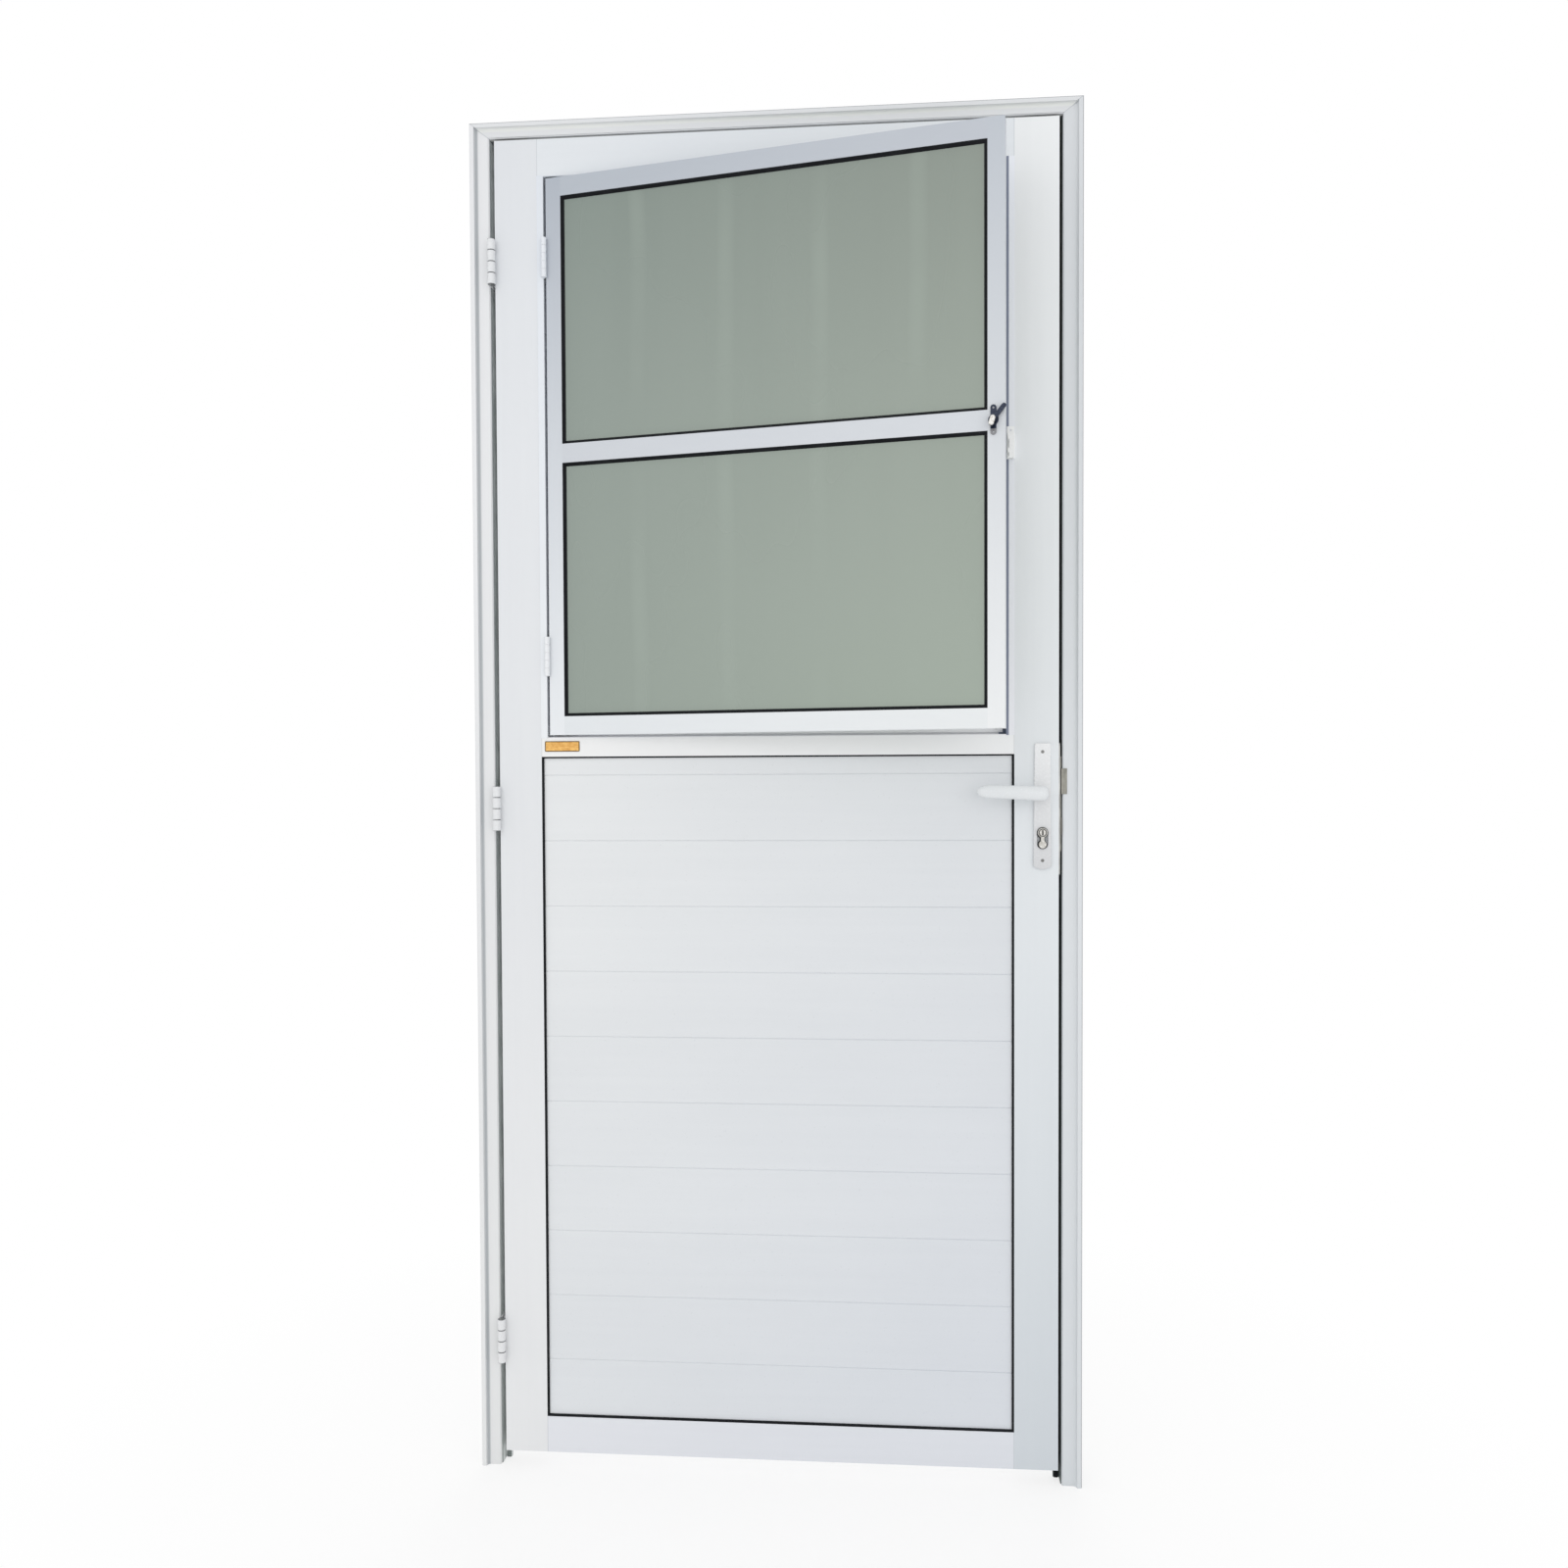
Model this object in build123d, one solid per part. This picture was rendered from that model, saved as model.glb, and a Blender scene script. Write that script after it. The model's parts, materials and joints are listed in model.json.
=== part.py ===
"""Aluminium entrance door with its frame: planked lower panel, glazed hatch above, lever lock."""
import os
from math import cos, pi, radians, sin, sqrt

from build123d import *

# Millimetres. X runs along the wall (hinges at -X), Y into the wall, Z up.
# The origin is the middle of the opening at floor level, in the plane of the wall face.

# Frame
nominal_width = 900.0
nominal_height = 2100.0
jamb_thickness = 10.0
jamb_wall = 1.5
jamb_back = 50.0
flange_front = -0.5
clip_edge = 9.0
clip_depth = 6.0
stop_width = 9.0
stop_face = 19.5
stop_depth = 5.5
stop_wall = 1.2
seal_mouth = 4.2
cleat_channel = (27.5, 41.0)
cleat_gap = 3.0
cleat_leg = 42.0

# Moulded trim round the frame
trim_width = 31.0
head_trim_width = 23.4
trim_setback = 1.3
trim_wall = 1.3
trim_leg = 1.1
band_face = -6.0
rim_face = -12.0
rim_width = 7.2
trim_edge_radius = 1.5

# Gaps round the leaf
hinge_gap = 7.7
lock_gap = 4.5
head_gap = 3.5
floor_gap = 24.5
seal_clearance = 0.4

# Leaf profiles
leaf_front = -8.0
leaf_thickness = 25.0
leaf_wall = 1.4
stile_width = 67.0
rail_width = 57.0
mid_rail_width = 29.0
panel_top = 1129.0
channel_depth = 11.5
notch_clearance = 0.1

# Screw ports and the screws that tie the rails to the stiles
port_outer = 8.0
port_bore = 5.0
tie_shank = 4.8
tie_head = 8.5
tie_head_height = 3.0
tie_length = 32.0
access_hole = 9.5

# Planks
plank_pitch = 103.0
plank_recess = 3.0
plank_thickness = 18.0
plank_wall = 1.2
plank_bevel = 1.0
tongue_height = 6.0
tongue_width = 3.0
tongue_clearance = 0.2
groove_depth = 7.0
plank_end_clearance = 1.0

# Panel gaskets
gasket_grip = 7.5
gasket_show = 3.5
gasket_show_top = 2.4
gasket_bulge = 0.6
rear_gasket_show = 2.5

# Hatch frame and hatch
hatch_strip_hinge = 10.0
hatch_strip_lock = 12.0
hatch_strip_proud = 1.0
hatch_strip_wall = 1.3
hatch_lining = 1.4
hatch_fin = 10.0
hatch_fin_back = 15.6
hatch_gap = 3.4
sash_depth = 20.0
sash_stile = 24.5
sash_rail = 29.0
sash_bar = 29.4
sash_wall = 1.4
bar_height = 437.0
glass_channel = 7.0
glass_thickness = 4.0
glass_setback = 4.3
pane_gasket_show = 5.0
pane_gasket_grip = 6.0
back_lip = 12.6
pane_edge_cover = 3.0
hatch_rest_angle = 10.5

# Door hinges
hinge_heights = (204.0, 1048.0, 1897.5)
barrel_height = 70.0
barrel_diameter = 12.0
barrel_joint = 0.8
barrel_knuckles = 4
barrel_proud = 0.8
pin_diameter = 6.5
pin_clearance = 0.05
hinge_plate = 2.5
hinge_plate_back = 14.0
hinge_screw_rows = (-25.0, 0.0, 25.0)
hinge_screw_line = 4.5
screw_shank = 4.4
screw_head = 8.4
screw_length = 8.0
screw_clearance = 0.1

# Hatch hinges
hatch_hinge_inset = 122.5
small_barrel_height = 61.0
small_barrel_diameter = 8.0
small_barrel_joint = 0.3
small_barrel_knuckles = 5
small_barrel_proud = 0.4
small_pin_diameter = 4.0
small_plate = 1.0
small_plate_back = 6.0

# Lock
backset = 25.0
hub_height = 1069.0
plug_drop = 60.0
latch_rise = 18.0
deadbolt_drop = 50.5
case_width = 44.0
case_top = 60.0
case_bottom = 98.0
case_front = -3.0
case_back = 12.0
case_wall = 1.5
forend_thickness = 2.0
forend_width = 22.0
forend_top = 76.0
forend_bottom = 124.0
bolt_front = 1.4
bolt_back = 10.2
bolt_clearance = 0.3
latch_height = 16.0
latch_throw = 9.0
latch_tail = 30.0
deadbolt_height = 25.5
deadbolt_length = 12.8
deadbolt_throw = 9.5
strike_thickness = 1.2
strike_lip = 8.0
strike_lip_height = 39.0

# Lever handles and their plates
plate_width = 27.2
plate_top_width = 23.5
plate_top = 76.0
plate_bottom = 116.0
plate_thickness = 4.5
plate_skin = 1.8
plate_rim = 2.0
plate_arc = 5.0
plate_screws = (63.0, -102.5)
plate_screw_diameter = 5.0
neck_diameter = 17.0
neck_clearance = 0.1
neck_length = 14.0
grip_reach = 33.0
grip_length = 101.0
grip_height = 21.5
grip_depth = 14.0
grip_bend = 11.0
tip_height = 20.0
tip_depth = 12.0
tip_rounding = 18.0
tip_rise = 3.0
spindle_size = 8.0
spindle_clearance = 0.15
follower_diameter = 16.8

# Cylinder
barrel_top_diameter = 16.4
barrel_low_diameter = 13.4
barrel_total = 33.0
barrel_waist = 7.0
cylinder_proud = 2.5
cylinder_hole_clearance = 0.3
plug_diameter = 10.8
plug_clearance = 0.1
cam_radius = 12.5
cam_span = (1.4, 7.6)
keyway = (2.2, 8.0)

# Hatch latch and its keeper
latch_centre_inset = 16.1
rosette_diameter = 15.0
rosette_thickness = 2.2
ear_reach = 17.0
ear_width = 8.4
ear_screw = 3.2
latch_shaft = 6.0
latch_hub = 10.0
latch_proud = 9.0
knob_length = 15.0
knob_width = 7.6
knob_height = 5.5
knob_angle = -106.0
arm_length = 23.5
arm_width = 6.4
arm_angle = 50.0
arm_front = 5.8
arm_thickness = 3.0
keeper_width = 11.0
keeper_height = 49.0
keeper_hook = 37.0
keeper_notches = ((2.0, 9.0), (15.0, 29.0))
keeper_notch_depth = 2.5
keeper_depth = 9.0
keeper_base = 1.5
keeper_lip = 2.0
keeper_wall = 2.5

# Holes for the screws that fix the frame to the wall
fixing_heights = (250.0, 800.0, 1350.0, 1900.0)
fixing_hole = 6.5
fixing_depth = 34.2

# Worked out from the sizes above
rebate = nominal_width / 2 - jamb_thickness
rebate_top = nominal_height - jamb_thickness
leaf_left = -rebate + hinge_gap
leaf_right = rebate - lock_gap
leaf_top = rebate_top - head_gap
leaf_bottom = floor_gap
leaf_back = leaf_front + leaf_thickness
leaf_middle = (leaf_front + leaf_back) / 2
inner_left = leaf_left + stile_width
inner_right = leaf_right - stile_width
panel_bottom = leaf_bottom + rail_width
mid_rail_top = panel_top + mid_rail_width
hatch_top = leaf_top - rail_width
plank_front = leaf_front + plank_recess
plank_back = plank_front + plank_thickness
plank_middle = (plank_front + plank_back) / 2
channel_floor = panel_bottom - channel_depth

strip_face = leaf_front - hatch_strip_proud
sash_back = strip_face + sash_depth
opening_left = inner_left + hatch_strip_hinge
opening_right = inner_right - hatch_strip_lock
sash_left = opening_left + hatch_gap
sash_right = opening_right - hatch_gap
sash_bottom = mid_rail_top + hatch_lining + hatch_gap
sash_top = hatch_top - hatch_lining - hatch_gap
bar_middle = sash_bottom + bar_height

hinge_x = leaf_left - hinge_gap / 2
hinge_y = leaf_front - barrel_proud - barrel_diameter / 2
hatch_hinge_x = sash_left - hatch_gap / 2
hatch_hinge_y = strip_face - small_barrel_proud - small_barrel_diameter / 2

lock_x = leaf_right - backset
plug_height = hub_height - plug_drop
latch_z = hub_height + latch_rise
deadbolt_z = hub_height - deadbolt_drop
front_plate_face = leaf_front - plate_thickness
back_plate_face = leaf_back + plate_thickness
latch_x = sash_right - latch_centre_inset
latch_pivot_z = bar_middle

strike_screw_line = 6.0
strike_screw_heights = (latch_z + 30.0, deadbolt_z - 30.0)
forend_screw_heights = (hub_height + forend_top - 5.0, hub_height - forend_bottom + 5.0)
hinge_screw_heights = [middle + row for middle in hinge_heights for row in hinge_screw_rows]


def block(x0, y0, z0, x1, y1, z1):
    """Box between two corners."""
    return Pos((x0 + x1) / 2, (y0 + y1) / 2, (z0 + z1) / 2) * Box(
        abs(x1 - x0), abs(y1 - y0), abs(z1 - z0)
    )


def flat(u0, v0, u1, v1):
    """Rectangle of a section: u across the profile, v along Y."""
    return Pos((u0 + u1) / 2, (v0 + v1) / 2) * Rectangle(abs(u1 - u0), abs(v1 - v0))


def outline(*points):
    """Section with straight sides."""
    return make_face(Polyline(*points, close=True))


def bar(section, start, across, length):
    """Extrude a section whose u runs along `across` and whose v runs along Y."""
    run = Vector(*across).cross(Vector(0, 1, 0))
    return extrude(Plane(origin=start, x_dir=across, z_dir=run) * section, amount=length)


def rod(diameter, start, direction, length):
    """Round bar from a point along a direction."""
    return extrude(Plane(origin=start, z_dir=direction) * Circle(diameter / 2), amount=length)


def mitre(shape, side, keep, setback, slope):
    """Cut through an upper corner of the frame: side -1 at the hinges, 1 at the lock."""
    corner = (side * (rebate + setback), 0, rebate_top + setback)
    return split(shape, bisect_by=Plane(origin=corner, z_dir=(-side * slope, 0, 1)), keep=keep)


def three_sides(section, head_section=None, setback=0, slope=1):
    """A section up the hinge side, up the lock side and across the head, mitred at the corners."""
    hinge_side = bar(section, (-rebate, 0, nominal_height + trim_width), (-1, 0, 0),
                     nominal_height + trim_width)
    lock_side = bar(section, (rebate, 0, 0), (1, 0, 0), nominal_height + trim_width)
    reach = rebate + trim_width
    head = bar(head_section or section, (reach, 0, rebate_top), (0, 0, 1), 2 * reach)
    head = mitre(head, -1, Keep.TOP, setback, slope)
    return (
        mitre(hinge_side, -1, Keep.BOTTOM, setback, slope),
        mitre(lock_side, 1, Keep.BOTTOM, setback, slope),
        mitre(head, 1, Keep.TOP, setback, slope),
    )


def countersunk_screw(face, direction):
    """Screw whose head lies flush with a face and whose shank runs along a direction."""
    head_depth = (screw_head - screw_shank) / 2
    head = extrude(
        Plane(origin=face, z_dir=direction) * Circle(screw_head / 2), amount=head_depth, taper=45
    )
    return head + rod(screw_shank, face, direction, screw_length)


def screw_hole(face, direction):
    """Clearance cut for a countersunk screw."""
    head_depth = (screw_head - screw_shank) / 2
    sink = extrude(
        Plane(origin=face, z_dir=direction) * Circle(screw_head / 2 + screw_clearance),
        amount=head_depth, taper=45,
    )
    return sink + rod(screw_shank + 2 * screw_clearance, face, direction, screw_length)


def swing_open(shape):
    """Turn a piece of the closed hatch to the angle at which it stands ajar."""
    return shape.rotate(Axis((hatch_hinge_x, hatch_hinge_y, 0), (0, 0, 1)), -hatch_rest_angle)


def save(name, *shapes):
    """Write one node; several shapes become a group of separate solids."""
    solids = [solid for shape in shapes for solid in shape.solids()]
    node = solids[0] if len(solids) == 1 else Compound(children=solids)
    export_step(node, f"parts/{name}.step")


# Frame

def jamb_section():
    """Open extrusion: web, clip flange, cleat channel, rear rib and the stop that holds the seal."""
    web = flat(0, flange_front, jamb_wall, jamb_back)
    flange = flat(0, flange_front, clip_edge, flange_front + jamb_wall)
    clip = flat(clip_edge - jamb_wall, flange_front, clip_edge, clip_depth)
    rib = flat(0, jamb_back - jamb_wall, jamb_thickness, jamb_back)
    rib_lip = flat(jamb_thickness - jamb_wall, jamb_back - 4 * jamb_wall, jamb_thickness, jamb_back)
    section = web + flange + clip + rib + rib_lip
    lip_top = jamb_wall + cleat_gap + jamb_wall
    for edge, side in ((cleat_channel[0], -1), (cleat_channel[1], 1)):
        section += flat(0, edge, lip_top, edge + side * jamb_wall)
        section += flat(lip_top - jamb_wall, edge - side * 2, lip_top, edge)
    stop = flat(-stop_width, stop_face, 0, stop_face + stop_depth)
    pocket = flat(-stop_width + stop_wall, stop_face + stop_wall, 0,
                  stop_face + stop_depth - stop_wall)
    mouth_middle = -stop_width / 2
    mouth = flat(mouth_middle - seal_mouth / 2, stop_face, mouth_middle + seal_mouth / 2,
                 stop_face + stop_wall)
    return section + (stop - pocket - mouth)


def frame_seal_section():
    """Rubber strip: a root held in the stop and a rounded bulb towards the leaf."""
    middle = -stop_width / 2
    root = flat(-stop_width + stop_wall + 0.3, stop_face + stop_wall + 0.2, -0.3,
                stop_face + stop_depth - stop_wall - 0.2)
    neck = flat(middle - seal_mouth / 2 + 0.3, stop_face - 0.5, middle + seal_mouth / 2 - 0.3,
                stop_face + stop_wall + 0.5)
    bulb = flat(middle - 3.2, leaf_back + seal_clearance, middle + 3.2, stop_face - 0.1)
    return root + neck + fillet(bulb.vertices(), 0.8)


def trim_section(width):
    """Moulding: flat band, cove and raised rim, with a clip leg behind."""
    cove = band_face - rim_face
    rim_start = width - rim_width
    cove_start = rim_start - cove
    half = sqrt(0.5)
    r = trim_edge_radius
    u0 = trim_setback
    inner_cove = cove + trim_wall
    meet = sqrt(inner_cove ** 2 - trim_wall ** 2)
    band_back = band_face + trim_wall
    leg_inner = clip_edge
    leg_outer = clip_edge + trim_leg
    hook = clip_depth + trim_wall
    front = [
        Line((u0, flange_front), (u0, band_face + r)),
        RadiusArc((u0, band_face + r), (u0 + r, band_face), r),
        Line((u0 + r, band_face), (cove_start, band_face)),
        ThreePointArc((cove_start, band_face), (cove_start + cove * half, rim_face + cove * half),
                      (rim_start, rim_face)),
        Line((rim_start, rim_face), (width - r, rim_face)),
        RadiusArc((width - r, rim_face), (width, rim_face + r), r),
        Line((width, rim_face + r), (width, 0)),
    ]
    back = [
        Polyline((width, 0), (width - trim_wall, 0), (width - trim_wall, rim_face + trim_wall),
                 (cove_start + meet, rim_face + trim_wall)),
        ThreePointArc((cove_start + meet, rim_face + trim_wall),
                      (cove_start + inner_cove * half, rim_face + inner_cove * half),
                      (cove_start, band_back)),
        Polyline((cove_start, band_back), (leg_outer, band_back), (leg_outer, hook),
                 (leg_inner - trim_leg, hook), (leg_inner - trim_leg, clip_depth),
                 (leg_inner, clip_depth), (leg_inner, band_back), (u0 + trim_wall, band_back),
                 (u0 + trim_wall, flange_front), (u0, flange_front)),
    ]
    return make_face([edge for curve in front + back for edge in curve.edges()])


def trims():
    """Side mouldings and a narrower one across the head; the joint runs from corner to corner."""
    slope = (head_trim_width - trim_setback) / (trim_width - trim_setback)
    return three_sides(trim_section(trim_width), trim_section(head_trim_width), trim_setback, slope)


def corner_cleats():
    """L brackets that slide into the cleat channels and hold the two mitred corners."""
    v0, v1 = cleat_channel[0] + 0.3, cleat_channel[1] - 0.3
    low, high = jamb_wall + 0.1, jamb_wall + cleat_gap - 0.1
    cleats = []
    for side in (-1, 1):
        up = block(side * (rebate + low), v0, rebate_top - cleat_leg,
                   side * (rebate + high), v1, rebate_top + high)
        along = block(side * (rebate - cleat_leg), v0, rebate_top + low,
                      side * (rebate + high), v1, rebate_top + high)
        cleats.append(up + along)
    return cleats


def strike_pockets(growth):
    """Pockets for the two bolts, through the strike plate and the web behind it."""
    pockets = []
    for height, size in ((latch_z, latch_height), (deadbolt_z, deadbolt_height)):
        half = size / 2 + growth
        pockets.append(block(rebate - 5, bolt_front - growth, height - half,
                             rebate + jamb_wall + 1, bolt_back + growth, height + half))
    return pockets


def strike_plate():
    """Plate on the lock jamb with a lip over the trim at the latch and one behind the deadbolt."""
    top, bottom = latch_z + 38, deadbolt_z - 38
    x0, x1 = rebate - strike_thickness, rebate
    plate = block(x0, -1.5, bottom, x1, leaf_back, top)
    for height, half in ((latch_z, strike_lip_height / 2), (deadbolt_z, 13.0)):
        plate += block(x0, band_face - strike_thickness, height - half, x1, leaf_back, height + half)
    lip = block(x0, band_face - strike_thickness, latch_z - strike_lip_height / 2,
                rebate + strike_lip, band_face, latch_z + strike_lip_height / 2)
    plate += lip
    bend = plate.edges().filter_by(Axis.Z).filter_by(
        lambda e: abs(e.center().X - x0) < 0.01 and e.center().Y < band_face - 1
        and abs(e.center().Z - latch_z) < 1
    )
    plate = fillet(bend, 1.0)
    for pocket in strike_pockets(0.8):
        plate -= pocket
    for z in strike_screw_heights:
        plate -= screw_hole((x0, strike_screw_line, z), (1, 0, 0))
    return plate


def build_frame():
    """Jambs, trims, seals, corner cleats, strike plate and the fixed half of the hinges."""
    hinge_jamb, lock_jamb, head_jamb = three_sides(jamb_section())
    for z in fixing_heights:
        hinge_jamb -= rod(fixing_hole, (-rebate + 1, fixing_depth, z), (-1, 0, 0), jamb_thickness)
        lock_jamb -= rod(fixing_hole, (rebate - 1, fixing_depth, z), (1, 0, 0), jamb_thickness)
    for z in hinge_screw_heights:
        hinge_jamb -= rod(screw_shank + 2 * screw_clearance,
                          (-rebate + 1, hinge_screw_line, z), (-1, 0, 0), 4)
    for z in strike_screw_heights:
        lock_jamb -= screw_hole((rebate - strike_thickness, strike_screw_line, z), (1, 0, 0))
    for pocket in strike_pockets(0.8):
        lock_jamb -= pocket
    save("hinge_jamb", hinge_jamb)
    save("lock_jamb", lock_jamb)
    save("head_jamb", head_jamb)

    hinge_trim, lock_trim, head_trim = trims()
    save("hinge_trim", hinge_trim)
    save("lock_trim", lock_trim)
    save("head_trim", head_trim)

    save("frame_seals", *three_sides(frame_seal_section()))
    save("frame_corner_cleats", *corner_cleats())
    save("strike_plate", strike_plate())


# Hinges

door_hinge = dict(height=barrel_height, diameter=barrel_diameter, knuckles=barrel_knuckles,
                  joint=barrel_joint, plate=hinge_plate, back=hinge_plate_back)
hatch_hinge = dict(height=small_barrel_height, diameter=small_barrel_diameter,
                   knuckles=small_barrel_knuckles, joint=small_barrel_joint, plate=small_plate,
                   back=small_plate_back)


def hinge_half(size, axis_x, axis_y, middle, bore, first, plate_x):
    """One leaf of a butt hinge: every second knuckle, and a plate notched round the others."""
    pitch = size["height"] / size["knuckles"]
    bottom = middle - size["height"] / 2
    plate_end = plate_x + size["plate"]
    clear = axis_y + size["diameter"] / 2 + 0.3
    # The plate meets its knuckles inside their wall, just outside the bore.
    meet = axis_y + bore / 2 + 0.6
    half = block(plate_x, clear, bottom, plate_end, size["back"], bottom + size["height"])
    for index in range(first, size["knuckles"], 2):
        z0 = bottom + index * pitch + size["joint"] / 2
        length = pitch - size["joint"]
        ring = rod(size["diameter"], (axis_x, axis_y, z0), (0, 0, 1), length)
        ring -= rod(bore, (axis_x, axis_y, z0), (0, 0, 1), length)
        half += ring + block(plate_x, meet, z0, plate_end, clear, z0 + length)
    return half


def door_hinge_leaves(side):
    """The three hinge leaves on one side: "frame" on the jamb, "leaf" on the stile."""
    on_frame = side == "frame"
    plate_x = -rebate if on_frame else leaf_left - hinge_plate
    screw_x = plate_x + hinge_plate if on_frame else plate_x
    toward = (-1, 0, 0) if on_frame else (1, 0, 0)
    bore = pin_diameter if on_frame else pin_diameter + 2 * pin_clearance
    halves = []
    for middle in hinge_heights:
        half = hinge_half(door_hinge, hinge_x, hinge_y, middle, bore, 1 if on_frame else 0, plate_x)
        for row in hinge_screw_rows:
            half -= screw_hole((screw_x, hinge_screw_line, middle + row), toward)
        halves.append(half)
    return halves


def build_hinges():
    """Door hinges with their pins, and the screws of hinges, strike plate and forend."""
    save("frame_hinge_leaves", *door_hinge_leaves("frame"))
    save("leaf_hinge_leaves", *door_hinge_leaves("leaf"))
    save("door_hinge_pins", *[
        rod(pin_diameter, (hinge_x, hinge_y, z - barrel_height / 2 + 0.3), (0, 0, 1),
            barrel_height - 0.6) for z in hinge_heights
    ])
    frame_screws = [
        countersunk_screw((-rebate + hinge_plate, hinge_screw_line, z), (-1, 0, 0))
        for z in hinge_screw_heights
    ]
    frame_screws += [
        countersunk_screw((rebate - strike_thickness, strike_screw_line, z), (1, 0, 0))
        for z in strike_screw_heights
    ]
    save("frame_screws", *frame_screws)
    leaf_screws = [
        countersunk_screw((leaf_left - hinge_plate, hinge_screw_line, z), (1, 0, 0))
        for z in hinge_screw_heights
    ]
    leaf_screws += [
        countersunk_screw((leaf_right + forend_thickness, leaf_middle, z), (-1, 0, 0))
        for z in forend_screw_heights
    ]
    save("leaf_screws", *leaf_screws)


# Leaf

def leaf_section(width, channel, ports=()):
    """Hollow profile with an open panel channel on its inner edge and screw ports in its chamber."""
    section = flat(0, leaf_front, width, leaf_back)
    section -= flat(leaf_wall, leaf_front + leaf_wall, width - channel - leaf_wall,
                    leaf_back - leaf_wall)
    if channel:
        section -= flat(width - channel, leaf_front + leaf_wall, width, leaf_back - leaf_wall)
    for u in ports:
        section += flat(u - leaf_wall / 2, leaf_front, u + leaf_wall / 2, leaf_back)
        section += Pos(u, leaf_middle) * Circle(port_outer / 2)
        section -= Pos(u, leaf_middle) * Circle(port_bore / 2)
    return section


top_ports = (14.0, 43.0)
bottom_ports = (13.0, 33.0)
mid_ports = ((mid_rail_width - channel_depth) / 2,)
port_heights = (
    [leaf_top - u for u in top_ports]
    + [mid_rail_top - u for u in mid_ports]
    + [leaf_bottom + u for u in bottom_ports]
)


def rail(section, edge, across):
    """Rail between the stiles, its ends notched to pass between the lips of their channels."""
    x0 = inner_left - channel_depth
    x1 = inner_right + channel_depth
    start = x0 if across[2] < 0 else x1
    body = bar(section, (start, 0, edge), across, x1 - x0)
    cut = leaf_wall + notch_clearance
    for a, b in ((x0, inner_left), (inner_right, x1)):
        body -= block(a, leaf_front, 0, b, leaf_front + cut, nominal_height)
        body -= block(a, leaf_back - cut, 0, b, leaf_back, nominal_height)
    return body


def stiles():
    """Full-height profiles with the holes for tie screws, hinge screws and the lock."""
    section = leaf_section(stile_width, channel_depth)
    height = leaf_top - leaf_bottom
    hinge_stile = bar(section, (leaf_left, 0, leaf_bottom), (1, 0, 0), height)
    lock_stile = bar(section, (leaf_right, 0, leaf_top), (-1, 0, 0), height)
    tube = stile_width - channel_depth
    for z in port_heights:
        wall = tube - leaf_wall - 1
        hinge_stile -= rod(port_bore, (leaf_left + wall, leaf_middle, z), (1, 0, 0), 4)
        hinge_stile -= rod(access_hole, (leaf_left - 1, leaf_middle, z), (1, 0, 0), 4)
        lock_stile -= rod(port_bore, (leaf_right - wall, leaf_middle, z), (-1, 0, 0), 4)
        lock_stile -= rod(access_hole, (leaf_right + 1, leaf_middle, z), (-1, 0, 0), 4)
    hole = screw_shank + 2 * screw_clearance
    for z in hinge_screw_heights:
        hinge_stile -= rod(hole, (leaf_left - 1, hinge_screw_line, z), (1, 0, 0), 4)
    for z in forend_screw_heights:
        lock_stile -= rod(hole, (leaf_right + 1, leaf_middle, z), (-1, 0, 0), 4)
    gap = bolt_clearance
    lock_stile -= block(leaf_right - 3, case_front - gap, hub_height - case_bottom - gap,
                        leaf_right + 1, case_back + gap, hub_height + case_top + gap)
    lock_stile -= rod(neck_diameter + 3, (lock_x, leaf_front - 1, hub_height), (0, 1, 0),
                      leaf_thickness + 2)
    lock_stile -= cylinder_profile(0.5, leaf_front - 1, leaf_back + 1)
    for offset in plate_screws:
        lock_stile -= rod(plate_screw_diameter + 0.6,
                          (lock_x, leaf_front - 1, hub_height + offset), (0, 1, 0),
                          leaf_thickness + 2)
    return hinge_stile, lock_stile


def tie_screws():
    """Screws from inside each stile into the ports of the rails."""
    tube = stile_width - channel_depth
    screws = []
    for z in port_heights:
        for x, way in ((leaf_left + tube - leaf_wall, 1), (leaf_right - tube + leaf_wall, -1)):
            head = rod(tie_head, (x, leaf_middle, z), (-way, 0, 0), tie_head_height)
            screws.append(head + rod(tie_shank, (x, leaf_middle, z), (way, 0, 0), tie_length))
    return screws


def plank_section():
    """Hollow tongue-and-groove section, upright: points are (depth, height)."""
    f, b, m = plank_front, plank_back, plank_middle
    c, w = plank_bevel, plank_wall
    half_tongue = tongue_width / 2
    half_groove = half_tongue + tongue_clearance
    shell = outline(
        (f, c), (f + c, 0), (m - half_groove, 0), (m - half_groove, groove_depth),
        (m + half_groove, groove_depth), (m + half_groove, 0), (b - c, 0), (b, c),
        (b, plank_pitch - c), (b - c, plank_pitch), (m + half_tongue, plank_pitch),
        (m + half_tongue, plank_pitch + tongue_height),
        (m - half_tongue, plank_pitch + tongue_height), (m - half_tongue, plank_pitch),
        (f + c, plank_pitch), (f, plank_pitch - c),
    )
    inside = flat(f + w, c + w, m - half_groove - w, groove_depth)
    inside += flat(m + half_groove + w, c + w, b - w, groove_depth)
    middle = (groove_depth + w + plank_pitch - w) / 2
    inside += flat(f + w, groove_depth + w, b - w, middle - w / 2)
    inside += flat(f + w, middle + w / 2, b - w, plank_pitch - c - w)
    return shell - inside


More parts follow.
